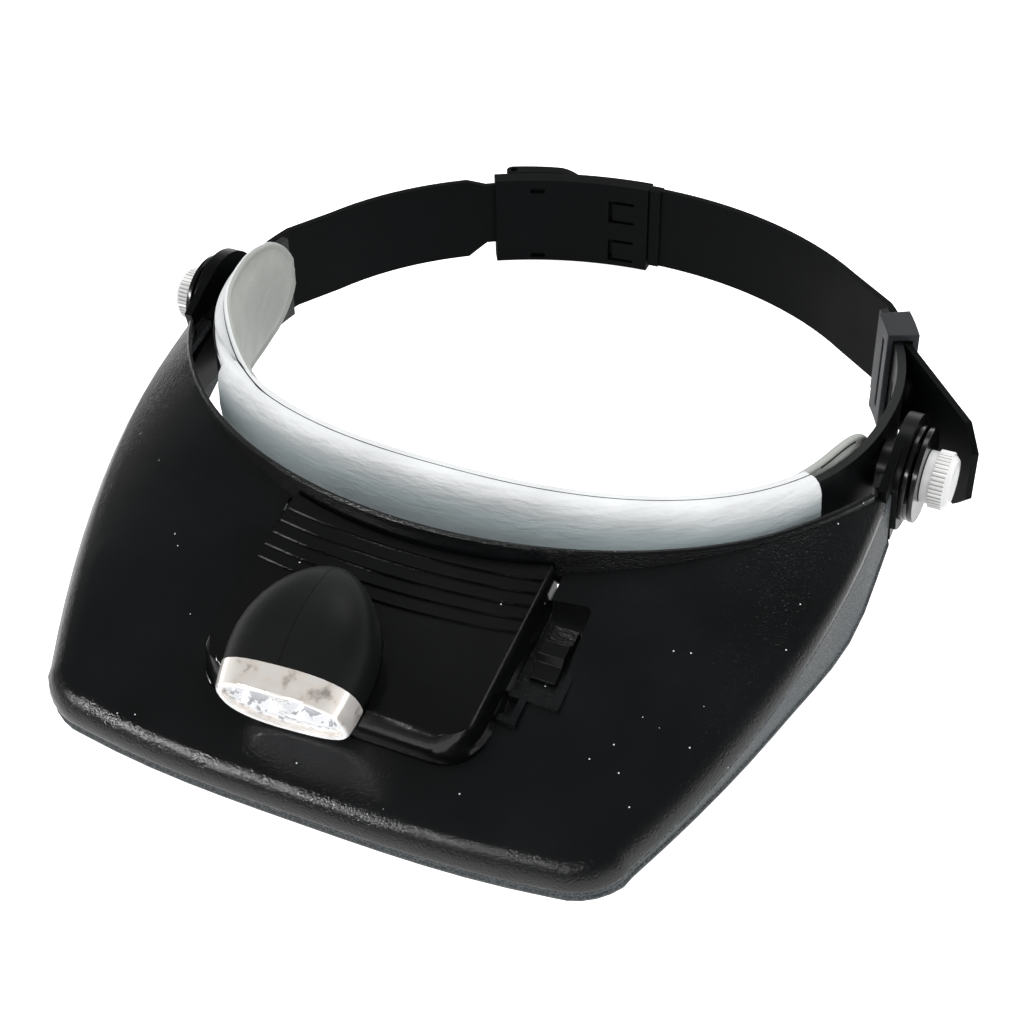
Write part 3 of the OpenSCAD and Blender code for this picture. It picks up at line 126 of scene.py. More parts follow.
sky_low, sky_overhead = 0.22, 1.22
mirrored_low, mirrored_overhead = 0.75, 0.16
sky = bpy.data.worlds.new("studio")
sky.use_nodes = True
bpy.context.scene.world = sky
tree = sky.node_tree
tree.nodes.clear()
place = tree.nodes.new("ShaderNodeTexCoord")
split = tree.nodes.new("ShaderNodeSeparateXYZ")
ray = tree.nodes.new("ShaderNodeLightPath")
polished = tree.nodes.new("ShaderNodeMix")
seen = tree.nodes.new("ShaderNodeMix")
seen.inputs[3].default_value = 1.0
air = tree.nodes.new("ShaderNodeBackground")
air.inputs["Color"].default_value = (1, 1, 1, 1)
surface = tree.nodes.new("ShaderNodeOutputWorld")
overcast = spread(tree, split.outputs["Z"], 0.0, 1.0, sky_low, sky_overhead)
mirrored = spread(tree, split.outputs["Z"], 0.05, 0.6, mirrored_low, mirrored_overhead)
tree.links.new(place.outputs["Generated"], split.inputs[0])
tree.links.new(ray.outputs["Is Glossy Ray"], polished.inputs[0])
tree.links.new(overcast, polished.inputs[2])
tree.links.new(mirrored, polished.inputs[3])
tree.links.new(ray.outputs["Is Camera Ray"], seen.inputs[0])
tree.links.new(polished.outputs[0], seen.inputs[2])
tree.links.new(seen.outputs[0], air.inputs["Strength"])
tree.links.new(air.outputs[0], surface.inputs["Surface"])


def softbox(name, place, aim, width, height, power):
    """A soft lamp of a plain size and power, turned to the place it lights."""
    lamp_data = bpy.data.lights.new(name, "AREA")
    lamp_data.shape = "RECTANGLE"
    lamp_data.size = width
    lamp_data.size_y = height
    lamp_data.energy = power
    lamp = bpy.data.objects.new(name, lamp_data)
    lamp.location = place
    lamp.rotation_euler = (Vector(aim) - Vector(place)).to_track_quat("-Z", "Y").to_euler()
    bpy.context.scene.collection.objects.link(lamp)
    return lamp


window_light = softbox("window_light", (-0.56, -0.70, 0.67), (-0.03, -0.13, 0),
                       width=0.34, height=0.10, power=7.8)
window_light.visible_diffuse = False
front_light = softbox("front_light", (-0.03, -0.84, 0.76), (0.04, -0.13, 0),
                      width=0.30, height=0.07, power=2.0)
front_light.visible_diffuse = False
side_light = softbox("side_light", (0.75, -0.15, 0.50), (0, 0, 0),
                     width=0.25, height=0.25, power=0.95)
side_light.visible_glossy = False
softbox("rear_light", (0.0, 0.70, 0.75), (0, 0, 0), width=0.60, height=0.30, power=2.2)

# Front band
# One strip of black nylon, moulded flat and bent round the brow; its skin is satin with
# a very fine spark-eroded grain, and slots near the right end lighten it.


def shader_of(material):
    return material.node_tree.nodes["Principled BSDF"]


def new_finish(name):
    """A fresh material, its node tree, its shader and the piece's own coordinates."""
    material = bpy.data.materials.new(name)
    material.use_nodes = True
    place = material.node_tree.nodes.new("ShaderNodeTexCoord")
    return material, material.node_tree, shader_of(material), place.outputs["Object"]


def noise_of(tree, place, scale, detail):
    """Noise through the solid of the piece; detail is how many finer layers it has."""
    field = tree.nodes.new("ShaderNodeTexNoise")
    field.inputs["Scale"].default_value = scale
    field.inputs["Detail"].default_value = detail
    tree.links.new(place, field.inputs["Vector"])
    return field.outputs["Fac"]


def two_tones(tree, field, low, high, low_at, high_at):
    """A paint that runs from one colour to another as the noise rises."""
    tones = tree.nodes.new("ShaderNodeValToRGB")
    tones.color_ramp.elements[0].position = low_at
    tones.color_ramp.elements[0].color = (*low, 1)
    tones.color_ramp.elements[1].position = high_at
    tones.color_ramp.elements[1].color = (*high, 1)
    tree.links.new(field, tones.inputs["Fac"])
    return tones.outputs["Color"]


def laid_over(tree, mask, paint, colour):
    """The paint with a second colour over it where the mask is 1."""
    mix = tree.nodes.new("ShaderNodeMix")
    mix.data_type = "RGBA"
    mix.inputs[7].default_value = (*colour, 1)
    tree.links.new(mask, mix.inputs[0])
    tree.links.new(paint, mix.inputs[6])
    return mix.outputs[2]


def relief_of(tree, height, strength, distance, under=None):
    """A bumped direction of the skin, on top of another bump where one is given."""
    relief = tree.nodes.new("ShaderNodeBump")
    relief.inputs["Strength"].default_value = strength
    relief.inputs["Distance"].default_value = distance
    tree.links.new(height, relief.inputs["Height"])
    if under is not None:
        tree.links.new(under, relief.inputs["Normal"])
    return relief.outputs[0]


cloud_scale, speck_scale, speck_size = 38, 260, 0.05
fleck_scale, fleck_from, fleck_full = 2400, 0.46, 0.64
dust_white = (0.75, 0.78, 0.80)


def moulded(name, colour, rough, grain, depth, gloss=0.3, drift=0.25, specks=0.0, flecks=None):
    """Moulded plastic: tone and polish drift a little, and the skin has a fine grain."""
    material, tree, shader, place = new_finish(name)
    shader.inputs["Specular IOR Level"].default_value = gloss
    clouds = noise_of(tree, place, cloud_scale, 4)
    low = [c*(1 - drift) for c in colour]
    high = [min(1, c*(1 + drift)) for c in colour]
    paint = two_tones(tree, clouds, low, high, 0.3, 0.7)

    if flecks:
        salt = noise_of(tree, place, fleck_scale, 2)
        paint = laid_over(tree, spread(tree, salt, fleck_from, fleck_full), paint, flecks)

    if specks > 0:
        dust = tree.nodes.new("ShaderNodeTexVoronoi")
        dust.inputs["Scale"].default_value = speck_scale
        chance = tree.nodes.new("ShaderNodeSeparateColor")
        tree.links.new(place, dust.inputs["Vector"])
        tree.links.new(dust.outputs["Color"], chance.inputs[0])
        near = math_of(tree, "LESS_THAN", dust.outputs["Distance"], speck_size)
        few = math_of(tree, "LESS_THAN", chance.outputs[0], specks)
        paint = laid_over(tree, math_of(tree, "MULTIPLY", near, few), paint, dust_white)
    tree.links.new(paint, shader.inputs["Base Color"])

    polish = spread(tree, clouds, 0.3, 0.7, rough - 0.05, rough + 0.06)
    tree.links.new(polish, shader.inputs["Roughness"])
    skin = noise_of(tree, place, grain, 3)
    tree.links.new(relief_of(tree, skin, 1.0, depth), shader.inputs["Normal"])
    return material


weld_reach, flat_within = 0.000002, math.radians(0.4)


def softened(name, node, material, body, edge=0.00025, angle=32, reshape=None):
    """A copy of a moulded piece, welded, with its sharp edges broken as a mould breaks them."""
    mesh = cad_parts[node].data.copy()
    mesh.name = name
    work = bmesh.new()
    work.from_mesh(mesh)
    bmesh.ops.remove_doubles(work, verts=work.verts, dist=weld_reach)
    bmesh.ops.dissolve_limit(work, angle_limit=flat_within, verts=work.verts, edges=work.edges)
    if reshape:
        reshape(work.verts)
    work.to_mesh(mesh)
    work.free()
    mesh.materials.clear()
    mesh.materials.append(material)
    piece = bpy.data.objects.new(name, mesh)
    bpy.context.scene.collection.objects.link(piece)
    bpy.context.view_layer.objects.active = piece
    piece.select_set(True)
    if edge > 0:
        rounding = piece.modifiers.new("broken_edges", "BEVEL")
        rounding.width = edge
        rounding.segments = 2
        rounding.limit_method = "ANGLE"
        rounding.angle_limit = math.radians(angle)
        rounding.use_clamp_overlap = True
        bpy.ops.object.modifier_apply(modifier=rounding.name)
    bpy.ops.object.shade_smooth_by_angle(angle=math.radians(angle + 8))
    if edge > 0:
        flats = piece.modifiers.new("flat_faces", "WEIGHTED_NORMAL")
        flats.keep_sharp = True
        bpy.ops.object.modifier_apply(modifier=flats.name)
    piece.select_set(False)
    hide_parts(node)
    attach(piece, body)
    return piece


band_black = moulded("band_black", (0.0045, 0.0055, 0.0060), 0.42, 2600, 0.00002, gloss=0.25)
softened("brow_band", "front_band", band_black, "headband")

# Lining
# Soft foam skinned in pale grey leathercloth, welded along its rim, with a tall round
# lobe at each temple. It is glued inside the band and its skin is finely creased. The
# ring's sizes are the front band's own, in mm, and it leans as the magnifier stands.
mm = 0.001
stand_tilt = math.radians(13.5603)
ring_half_w, ring_rear, ring_front = 88.8, 79.6, 66.8
brow_power = 2.4


def signed_power(value, power):
    return math.copysign(abs(value)**power, value)


def ring_point(angle, off, z):
    """A place on the headband's ring, given by its angle, its distance out and its height."""
    c, s = math.cos(math.radians(angle)), math.sin(math.radians(angle))
    if s >= 0:
        base = Vector((ring_half_w*c, ring_rear*s))
        out = Vector((ring_rear*c, ring_half_w*s)).normalized()
    else:
        base = Vector((ring_half_w*signed_power(c, 2/brow_power),
                       ring_front*signed_power(s, 2/brow_power)))
        out = Vector((signed_power(c, 2 - 2/brow_power)/ring_half_w,
                      signed_power(s, 2 - 2/brow_power)/ring_front)).normalized()
    at = base + off*out
    y, up = at.y, z
    return Vector((at.x, y*math.cos(stand_tilt) + up*math.sin(stand_tilt),
                   -y*math.sin(stand_tilt) + up*math.cos(stand_tilt)))*mm


band_up = (0, 0.2345, 0.9721)
# Heights on the band between which the painted shade comes in.
unshaded_above, shaded_below = 0.0255, 0.0170


def leathercloth(name, colour, crease_turn, painted_shade=None):
    """Creased leathercloth; the given tone is laid low on the band as a painted shade, darker
    towards the bottom.
    """
    material, tree, shader, place = new_finish(name)
    shader.inputs["Roughness"].default_value = 0.52
    shader.inputs["Specular IOR Level"].default_value = 0.35
    shader.inputs["Sheen Weight"].default_value = 0.08
    clouds = noise_of(tree, place, 55, 5)
    low, high = [c*0.9 for c in colour], [min(1, c*1.06) for c in colour]
    paint = two_tones(tree, clouds, low, high, 0.32, 0.68)
    if painted_shade:
        height = tree.nodes.new("ShaderNodeVectorMath")
        height.operation = "DOT_PRODUCT"
        height.inputs[1].default_value = band_up
        fade = tree.nodes.new("ShaderNodeMapRange")
        fade.interpolation_type = "SMOOTHSTEP"
        fade.inputs["From Min"].default_value = unshaded_above
        fade.inputs["From Max"].default_value = shaded_below
        tree.links.new(place, height.inputs[0])
        tree.links.new(height.outputs["Value"], fade.inputs["Value"])
        paint = laid_over(tree, fade.outputs[0], paint, painted_shade)
    tree.links.new(paint, shader.inputs["Base Color"])

    turn = tree.nodes.new("ShaderNodeMapping")
    turn.inputs["Rotation"].default_value = crease_turn
    turn.inputs["Scale"].default_value = (1.0, 1.0, 4.2)
    creases = tree.nodes.new("ShaderNodeTexNoise")
    creases.inputs["Scale"].default_value = 230
    creases.inputs["Detail"].default_value = 5
    creases.inputs["Roughness"].default_value = 0.62
    creases.inputs["Distortion"].default_value = 0.6
    pores = tree.nodes.new("ShaderNodeTexVoronoi")
    pores.feature = "DISTANCE_TO_EDGE"
    pores.inputs["Scale"].default_value = 1300
    tree.links.new(place, turn.inputs["Vector"])
    tree.links.new(turn.outputs[0], creases.inputs["Vector"])
    tree.links.new(place, pores.inputs["Vector"])
    creased = relief_of(tree, creases.outputs["Fac"], 0.9, 0.00042)
    pored = relief_of(tree, pores.outputs["Distance"], 0.5, 0.00004, under=creased)
    tree.links.new(pored, shader.inputs["Normal"])
    return material


# Lining and flap are one leathercloth in two copies: the lining's darker tone is painted shade,
# and the flap's paler tone is painted light.
lining_cloth_shaded_copy = leathercloth("lining_leathercloth_shaded", (0.44, 0.455, 0.43), (0.3, 0.5, 0.4))
# The flap's face is darkened towards the bottom by a painted shade.
flap_cloth_lit_copy = leathercloth("flap_leathercloth_lit", (0.86, 0.88, 0.89), (0.2, 0.75, 0.1),
                          painted_shade=(0.55, 0.645, 0.665))

lining_from, lining_to = 171.8, 357.0
lining_h, lobe_left_h, lobe_right_h = 24.3, 32.9, 29.0
lining_mid = 12.5
lobe_left_from, lobe_left_blend = 0.185, 0.146
lobe_right_blend, tip_round = 9/46, 4/46
rim_w, groove_w, groove_deep = 1.5, 0.55, 0.45
rim_round, rim_thick = 0.9, 1.9
pad_outer, pad_full, pad_inward, pad_back = -0.35, 4.1, 0.24, 0.9
pad_middle = pad_outer - pad_full*pad_inward - pad_back
pad_ripple, end_crowding = 0.34, 0.144
swell_in, swell_out = 5.5, 2.6
band_top, over_band_w, over_band_out = 25.3, 2.2, 1.8


def smooth(t):
    t = min(1, max(0, t))
    return t*t*(3 - 2*t)


def quarter_round(t):
    """Rises from 0 to 1 as a quarter circle does, while t goes from 0 to 1."""
    return math.sqrt(max(0.0, 1 - (1 - min(1, t))**2))


def lining_rise(u):
    """Height and middle of the lining at a share u of its length."""
    if u < 0.5:
        lobe, blend = lobe_left_h, 1 - smooth((u - lobe_left_from)/lobe_left_blend)
    else:
        lobe, blend = lobe_right_h, 1 - smooth((1 - u)/lobe_right_blend)
    rounded = quarter_round(min(u, 1 - u)/tip_round)
    half = (lining_h + (lobe - lining_h)*blend)/2*rounded
    return max(0.05, half), lining_mid + (lobe/2 - lining_mid)*blend


lining_steps, across = 240, 40
along = []
for k in range(lining_steps + 1):
    t = k/lining_steps
    along.append(t - end_crowding*math.sin(2*math.pi*t)/(2*math.pi))
angles = [lining_from + (lining_to - lining_from)*u for u in along]
arc = [0.0]
for a0, a1 in zip(angles, angles[1:]):
    arc.append(arc[-1] + (ring_point(a1, 0, 0) - ring_point(a0, 0, 0)).length/mm)
rim_line = []
for k, u in enumerate(along):
    half, mid = lining_rise(u)
    rim_line.append((arc[k], mid + half))
    rim_line.append((arc[k], mid - half))
rim_line = np.array(rim_line)
rows = []
for k, u in enumerate(along):
    half, mid = lining_rise(u)
    a = angles[k]
    front_row, back_row = [], []
    for i in range(across + 1):
        v = math.sin((i/across - 0.5)*math.pi)
        z = mid + half*v
        gap = float(np.min(np.hypot(rim_line[:, 0] - arc[k], rim_line[:, 1] - z)))
        rim = quarter_round(gap/rim_round)
        swell = smooth((gap - rim_w - groove_w)/swell_in)
        thick = rim_thick*rim + (pad_full - rim_thick)*swell
        groove = groove_deep*math.exp(-((gap - rim_w - groove_w/2)/groove_w)**2)
        spot = Vector((arc[k]*0.16, z*0.32 + arc[k]*0.09, 3.1))
        ripple = noise.noise(spot)*pad_ripple*swell
        inner = pad_middle - (thick/2 + pad_full*pad_inward*swell) + groove - ripple
        over_band = pad_outer + over_band_out*smooth((z - band_top)/over_band_w)
        bulge = (over_band - pad_middle - rim_thick/2)*smooth((gap - rim_w - groove_w)/swell_out)
        outer = pad_middle + rim_thick/2*rim + bulge - groove*0.7
        front_row.append(ring_point(a, inner, z))
        back_row.append(ring_point(a, outer, z))
    rows.append((front_row, back_row))


stitch_reach = 0.00002


def sewn_shell(name, rows, material, lit_back_material=None):
    """A closed skin from rows of places on its face and its back; the back material, a paler
    lit copy of the same cloth, is painted light over the back of the left half."""
    work = bmesh.new()
    loops = []
    for face, back in rows:
        ring = list(face) + list(reversed(back))
        loops.append([work.verts.new(p) for p in ring])
    count = len(loops[0])
    for k in range(len(loops) - 1):
        for i in range(count):
            j = (i + 1) % count
            side = work.faces.new((loops[k][i], loops[k][j], loops[k + 1][j], loops[k + 1][i]))
            if lit_back_material and i >= count//2 and k < len(loops)//2:
                side.material_index = 1
    half = count//2
    for loop, flip in ((loops[0], True), (loops[-1], False)):
        for i in range(half - 1):
            quad = (loop[i], loop[i + 1], loop[count - 2 - i], loop[count - 1 - i])
            work.faces.new(quad[::-1] if flip else quad)
    bmesh.ops.remove_doubles(work, verts=work.verts, dist=stitch_reach)
    bmesh.ops.recalc_face_normals(work, faces=work.faces)
    mesh = bpy.data.meshes.new(name)
    work.to_mesh(mesh)
    work.free()
    mesh.materials.append(material)
    if lit_back_material:
        mesh.materials.append(lit_back_material)
    for face in mesh.polygons:
        face.use_smooth = True
    piece = bpy.data.objects.new(name, mesh)
    bpy.context.scene.collection.objects.link(piece)
    return piece


lining = sewn_shell("foam_lining", rows, lining_cloth_shaded_copy, flap_cloth_lit_copy)
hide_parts("forehead_pad")
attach(lining, "headband")

# Flap
# The same leathercloth folded over the band's top edge. It hangs down the band's outer
# face with a soft roll, is trimmed square at the temples, and is welded to the lining.
flap_from, flap_to = 222.5, 333.0
flap_spine = [(-2.1, 25.36), (-1.2, 25.60), (-0.3, 25.70), (0.7, 25.86), (1.7, 25.78),
              (2.7, 25.15), (3.45, 24.0), (3.95, 22.2), (4.2, 19.4), (4.3, 15.8),
              (4.15, 12.0), (3.8, 8.0), (3.45, 4.6), (3.2, 1.9)]
flap_length, flap_half, mm_per_degree = 34, 0.52, 1.5
flap_ripple, wide_crease, fine_crease = 0.16, 0.085, 0.070
edge_crowding, hem_round, end_thin, end_round = 0.35, 0.018, 0.35, 2.2
seam_at, seam_w, seam_deep, seam_blend = 0.185, 0.010, 0.30, 0.05
lobe_side, lobe_side_w, lobe_side_out, lobe_side_down = 232, 9, 1.1, 0.16


def spine_at(t):
    """A place on the flap's middle line, and the direction out of its face."""
    x = t*(len(flap_spine) - 1)
    i = min(int(x), len(flap_spine) - 2)
    f = x - i
    p = [Vector(flap_spine[max(0, min(len(flap_spine) - 1, j))]) for j in (i - 1, i, i + 1, i + 2)]
    at = 0.5*((2*p[1]) + (p[2] - p[0])*f + (2*p[0] - 5*p[1] + 4*p[2] - p[3])*f*f
              + (3*p[1] - p[0] - 3*p[2] + p[3])*f**3)
    way = 0.5*((p[2] - p[0]) + 2*(2*p[0] - 5*p[1] + 4*p[2] - p[3])*f
               + 3*(3*p[1] - p[0] - 3*p[2] + p[3])*f*f)
    way.normalize()
    return at, Vector((-way.y, way.x))


rows = []
flap_steps, flap_down = 380, 72
for k in range(flap_steps + 1):
    u = k/flap_steps
    a = flap_from + (flap_to - flap_from)*u
    run = a*mm_per_degree
    end = quarter_round(min(u, 1 - u)*flap_steps/end_round)
    face, back = [], []
    for i in range(flap_down + 1):
        even, crowded = i/flap_down, 0.5 - 0.5*math.cos(math.pi*i/flap_down)
        t = even + (crowded - even)*edge_crowding
        at, out = spine_at(t)
        hem = quarter_round(min(t, 1 - t)/hem_round)
        half = flap_half*hem*(end_thin + (1 - end_thin)*end)
        below_seam = smooth((t - seam_at)/seam_blend)
        path = t*flap_length
        ripple = noise.noise(Vector((run*0.16 + path*0.25, path*0.30, 7.7)))*flap_ripple
        slant = path + run*0.22
        ripple += noise.noise(Vector((run*0.10, slant*0.95, 1.7)))*wide_crease
        ripple += noise.noise(Vector((run*0.28, slant*1.9, 5.1)))*fine_crease
        weld = seam_deep*math.exp(-((t - seam_at)/seam_w)**2)
        beside_lobe = lobe_side_out*smooth((lobe_side - a)/lobe_side_w)
        at = at + Vector((beside_lobe*max(0.0, 1 - t/lobe_side_down), 0))
        outward = at + out*(half + ripple*below_seam - weld*hem)
        inward = at - out*half
        face.append(ring_point(a, outward.x, outward.y))
        back.append(ring_point(a, inward.x, inward.y))
    rows.append((face, back))
flap = sewn_shell("brow_flap", rows, flap_cloth_lit_copy)
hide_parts("pad_flap")
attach(flap, "headband")

# Turned edge
# The leathercloth also turns over the band's top edge between the flap and the left lobe;
# it widens towards the flap, and its outer edge droops there to meet the flap's roll.
turn_from, turn_to = 197.0, 223.5
turn_steps, turn_across = 60, 16
turn_foot, turn_edge, turn_thick, turn_droop, droop_from = 25.08, 0.04, 0.62, 1.3, 0.72
turn_rows = []
for k in range(turn_steps + 1):
    u = k/turn_steps
    a = turn_from + (turn_to - turn_from)*u
    inner_off, outer_off = 1.25 - 2.3*smooth(u*1.6), 1.45 + 1.45*u*u
    face, back = [], []
    for i in range(turn_across + 1):
        v = i/turn_across
        off = inner_off + (outer_off - inner_off)*v
        drop = turn_droop*u*max(0.0, (v - droop_from)/(1 - droop_from))**2
        thick = turn_thick*math.sqrt(max(0.0, 1 - (2*v - 1)**4))
        face.append(ring_point(a, off, turn_foot + turn_edge + thick - drop))
        back.append(ring_point(a, off, turn_foot - drop))
    turn_rows.append((face, back))
turned_edge = sewn_shell("turned_edge", turn_rows, flap_cloth_lit_copy)
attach(turned_edge, "headband")

# Welded seam
# The line where flap and lining were welded together runs along the top and round each
# lobe; its gap is drawn as a thin dark line, a painted shadow beside the pale rim. At the
# left it drifts to the inner edge, where it runs on into the lobe's own seam.
seam_shadow = moulded("seam_shadow", (0.006, 0.007, 0.008), 0.7, 1500, 0.00002, gloss=0.05)


def seam_line(name, places, thick):
    """A fine dark line drawn through the places as a painted shadow, sunk into the leathercloth.
    """
    line = bpy.data.curves.new(name, "CURVE")
    line.dimensions = "3D"
    line.bevel_depth = thick
    line.bevel_resolution = 1
    line.use_fill_caps = True
    run = line.splines.new("POLY")
    run.points.add(len(places) - 1)
    for point, place in zip(run.points, places):
        point.co = (*place, 1)
    line.materials.append(seam_shadow)
    seam_shadow_line = bpy.data.objects.new(name, line)
    bpy.context.scene.collection.objects.link(seam_shadow_line)
    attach(seam_shadow_line, "headband")


seam_lift, seam_steps, seam_end = 0.36, 300, 0.2
seam_spot, seam_out = spine_at(seam_at)
seam_spot = seam_spot + seam_out*seam_lift
drift_in, drift_w = 1.3, 16
places = []
for k in range(seam_steps + 1):
    a = flap_from + seam_end + (flap_to - flap_from - 2*seam_end)*k/seam_steps
    inset = drift_in*(1 - smooth((a - flap_from)/drift_w))
    rise = 0.12*min(1, inset*4) - 0.13*inset
    places.append(ring_point(a, seam_spot.x - inset, seam_spot.y + rise))
seam_line("flap_seam", places, 0.00019)
rim_loop = np.vstack((rim_line[0::2], rim_line[1::2][::-1]))
ahead = np.roll(rim_loop, -3, axis=0) - np.roll(rim_loop, 3, axis=0)
ahead /= np.linalg.norm(ahead, axis=1)[:, None]
crease_in, crease_off = rim_w + groove_w/2 - 0.4, -1.36
crease_loop = rim_loop + crease_in*np.column_stack((ahead[:, 1], -ahead[:, 0]))
left_reach, right_reach = (0.0, arc[70], 26.9), (arc[175], arc[-1] - 1.0, 25.0)
for side, (near, far, lowest) in (("left", left_reach), ("right", right_reach)):
    places = []
    for x, z in crease_loop:
        if z > lowest and near < x < far:
            a = float(np.interp(x, arc, angles))
            places.append(ring_point(a, crease_off, z))
    if side == "left":
        places.append(ring_point(flap_from - 0.5, -1.33, 26.4))
        places.append(ring_point(flap_from + seam_end, seam_spot.x - drift_in, seam_spot.y - 0.05))
    seam_line("lobe_seam_" + side, places, 0.00020)

# Straps
# Two flat straps of dull slate-black polyethylene; the left one is riveted to the band
# and notched for the buckle, the right one runs through the keeper to a free tail.
strap_slate = moulded("strap_slate", (0.0032, 0.0038, 0.0042), 0.55, 1500, 0.00003, gloss=0.05)
softened("left_strap", "strap_left", strap_slate, "headband")
softened("right_strap", "strap_right", strap_slate, "headband")

keeper_grey = moulded("keeper_grey", (0.0235, 0.0260, 0.0310), 0.5, 1900, 0.00002, gloss=0.30)
softened("keeper_loop", "strap_keeper", keeper_grey, "headband", edge=0.0004)


def metal(name, colour, rough, grain, depth, metallic=1.0, low=None, low_at=0.3, high_at=0.7):
    """Bare or plated metal with faint handling marks; low is the tone of the marks, which on
    the lamp's rim and mirror are a painted reflection.
    """
    material, tree, shader, place = new_finish(name)
    shader.inputs["Metallic"].default_value = metallic
    marks_and_reflection = noise_of(tree, place, grain, 4)
    paint = two_tones(tree, marks_and_reflection, low or [c*0.85 for c in colour], colour, low_at, high_at)
    tree.links.new(paint, shader.inputs["Base Color"])
    polish = spread(tree, marks_and_reflection, 0.0, 1.0, rough*0.7, rough*1.4)
    tree.links.new(polish, shader.inputs["Roughness"])
    tree.links.new(relief_of(tree, marks_and_reflection, 0.5, depth), shader.inputs["Normal"])
    return material


plain_steel = metal("plain_steel", (0.55, 0.56, 0.57), 0.28, 420, 0.00002)
softened("riveted_studs", "strap_rivets", plain_steel, "headband", edge=0.0001)

# Buckle
# A moulded slate-black box that the strap ends run through, with a humped clamping lever
# on two lugs and a steel pin.
softened("buckle_box", "buckle_housing", strap_slate, "headband")
softened("clamp_lever", "buckle_lever", strap_slate, "lever", edge=0.0004)


def dress(material, *names):
    """Gives CAD pieces that stay as they are their finish."""
    for name in names:
        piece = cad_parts[name]
        piece.data.materials.clear()
        piece.data.materials.append(material)


dress(plain_steel, "lever_pin")

# Pivots
# A steel bolt at each temple carries black nylon washers, two black friction discs and a
# milky nylon knob with a brass insert. The knob is fluted for the fingers, and the feet of
# its flutes carry a painted shade: the mask picks them, as they lie at one distance from the axis.
disc_black = moulded("disc_black", (0.0030, 0.0034, 0.0038), 0.22, 1800, 0.00001, gloss=0.4)
dress(plain_steel, "pivot_bolt_left", "pivot_bolt_right")
softened("left_discs", "friction_discs_left", disc_black, "headband")
softened("right_discs", "friction_discs_right", disc_black, "headband")


def facing(tree, axis):
    """How far the skin faces along one axis of the piece."""
    place = tree.nodes.new("ShaderNodeTexCoord")
    split = tree.nodes.new("ShaderNodeSeparateXYZ")
    tree.links.new(place.outputs["Normal"], split.inputs[0])
    return split.outputs[axis]


knob_nylon = moulded("knob_nylon", (0.94, 0.95, 0.94), 0.32, 900, 0.00002, gloss=0.5, drift=0.04)
shader_of(knob_nylon).inputs["Subsurface Weight"].default_value = 0.12
shader_of(knob_nylon).inputs["Subsurface Radius"].default_value = (1.0, 1.0, 1.0)
shader_of(knob_nylon).inputs["Subsurface Scale"].default_value = 0.0015
knob_axis, flute_foot, flute_reach = (0, -0.004689, 0.015532), 0.00695, 0.00008
tree = knob_nylon.node_tree
place = tree.nodes.new("ShaderNodeTexCoord")
offset = tree.nodes.new("ShaderNodeVectorMath")
offset.operation = "SUBTRACT"
offset.inputs[1].default_value = knob_axis
across_axis = tree.nodes.new("ShaderNodeVectorMath")
across_axis.operation = "MULTIPLY"
across_axis.inputs[1].default_value = (0, 1, 1)
radius = tree.nodes.new("ShaderNodeVectorMath")
radius.operation = "LENGTH"
tree.links.new(place.outputs["Object"], offset.inputs[0])
tree.links.new(offset.outputs[0], across_axis.inputs[0])
tree.links.new(across_axis.outputs[0], radius.inputs[0])
# Painted shade along the feet of the flutes, on the knob's sides.
at_foot = math_of(tree, "COMPARE", radius.outputs["Value"], flute_foot, flute_reach)
on_side = math_of(tree, "LESS_THAN", math_of(tree, "ABSOLUTE", facing(tree, "X")), 0.5)
flute_shade_mask = math_of(tree, "MULTIPLY", at_foot, on_side)
knob_colour = shader_of(knob_nylon).inputs["Base Color"]
flute_shaded = laid_over(tree, flute_shade_mask, knob_colour.links[0].from_socket, (0.40, 0.40, 0.38))
tree.links.new(flute_shaded, knob_colour)
softened("left_knob", "knob_left", knob_nylon, "knob_on_left", edge=0.0001)
softened("right_knob", "knob_right", knob_nylon, "knob_on_right", edge=0.0001)
washer_nylon = moulded("washer_nylon", (0.0060, 0.0064, 0.0066), 0.35, 900, 0.00002)
softened("spacer_washers", "nylon_washers", washer_nylon, "headband", edge=0.0001)
turned_brass = metal("turned_brass", (0.72, 0.52, 0.22), 0.3, 500, 0.00002)
dress(turned_brass, "knob_insert_left", "knob_insert_right")

# Eyeshade
# A crowned black top with a rounded front edge over a grey granulated skirt; its ears are
# screwed between the friction discs and the band. The top's skin is moulded with fine
# creases, which are fainter where it lies flat. The skirt is granulated, and its upward
# faces are painted near black as shade under the top.
top_black = moulded("eyeshade_black", (0.0038, 0.0044, 0.0050), 0.20, 1050, 0.00026,
                    gloss=0.34, specks=0.45)
tree = top_black.node_tree
skin_height = tree.nodes["Bump"].inputs["Height"]
creases = math_of(tree, "PINGPONG", skin_height.links[0].from_socket, 0.5)
steep = spread(tree, facing(tree, "Z"), 0.93, 0.985, 1.0, 0.45)
tree.links.new(math_of(tree, "MULTIPLY", creases, steep), skin_height)
ear_black = moulded("ear_black", (0.0035, 0.0039, 0.0042), 0.34, 2000, 0.00002, gloss=0.12)
softened("eyeshade_top", "visor_shell", top_black, "eyeshade")
softened("left_ear", "visor_ear_left", ear_black, "eyeshade")
softened("right_ear", "visor_ear_right", ear_black, "eyeshade")
granite = moulded("skirt_granite", (0.040, 0.048, 0.053), 0.62, 1100, 0.00014,
                  gloss=0.3, drift=0.3, flecks=(0.15, 0.165, 0.17))
tree = granite.node_tree
skirt_colour = shader_of(granite).inputs["Base Color"]
# Faces that turn up, under the top, get a painted shade.
upward = math_of(tree, "GREATER_THAN", facing(tree, "Z"), 0.8)
shaded_top = laid_over(tree, upward, skirt_colour.links[0].from_socket, (0.004, 0.0045, 0.005))
tree.links.new(shaded_top, skirt_colour)
softened("granite_skirt", "visor_skirt", granite, "eyeshade", edge=0.0002)

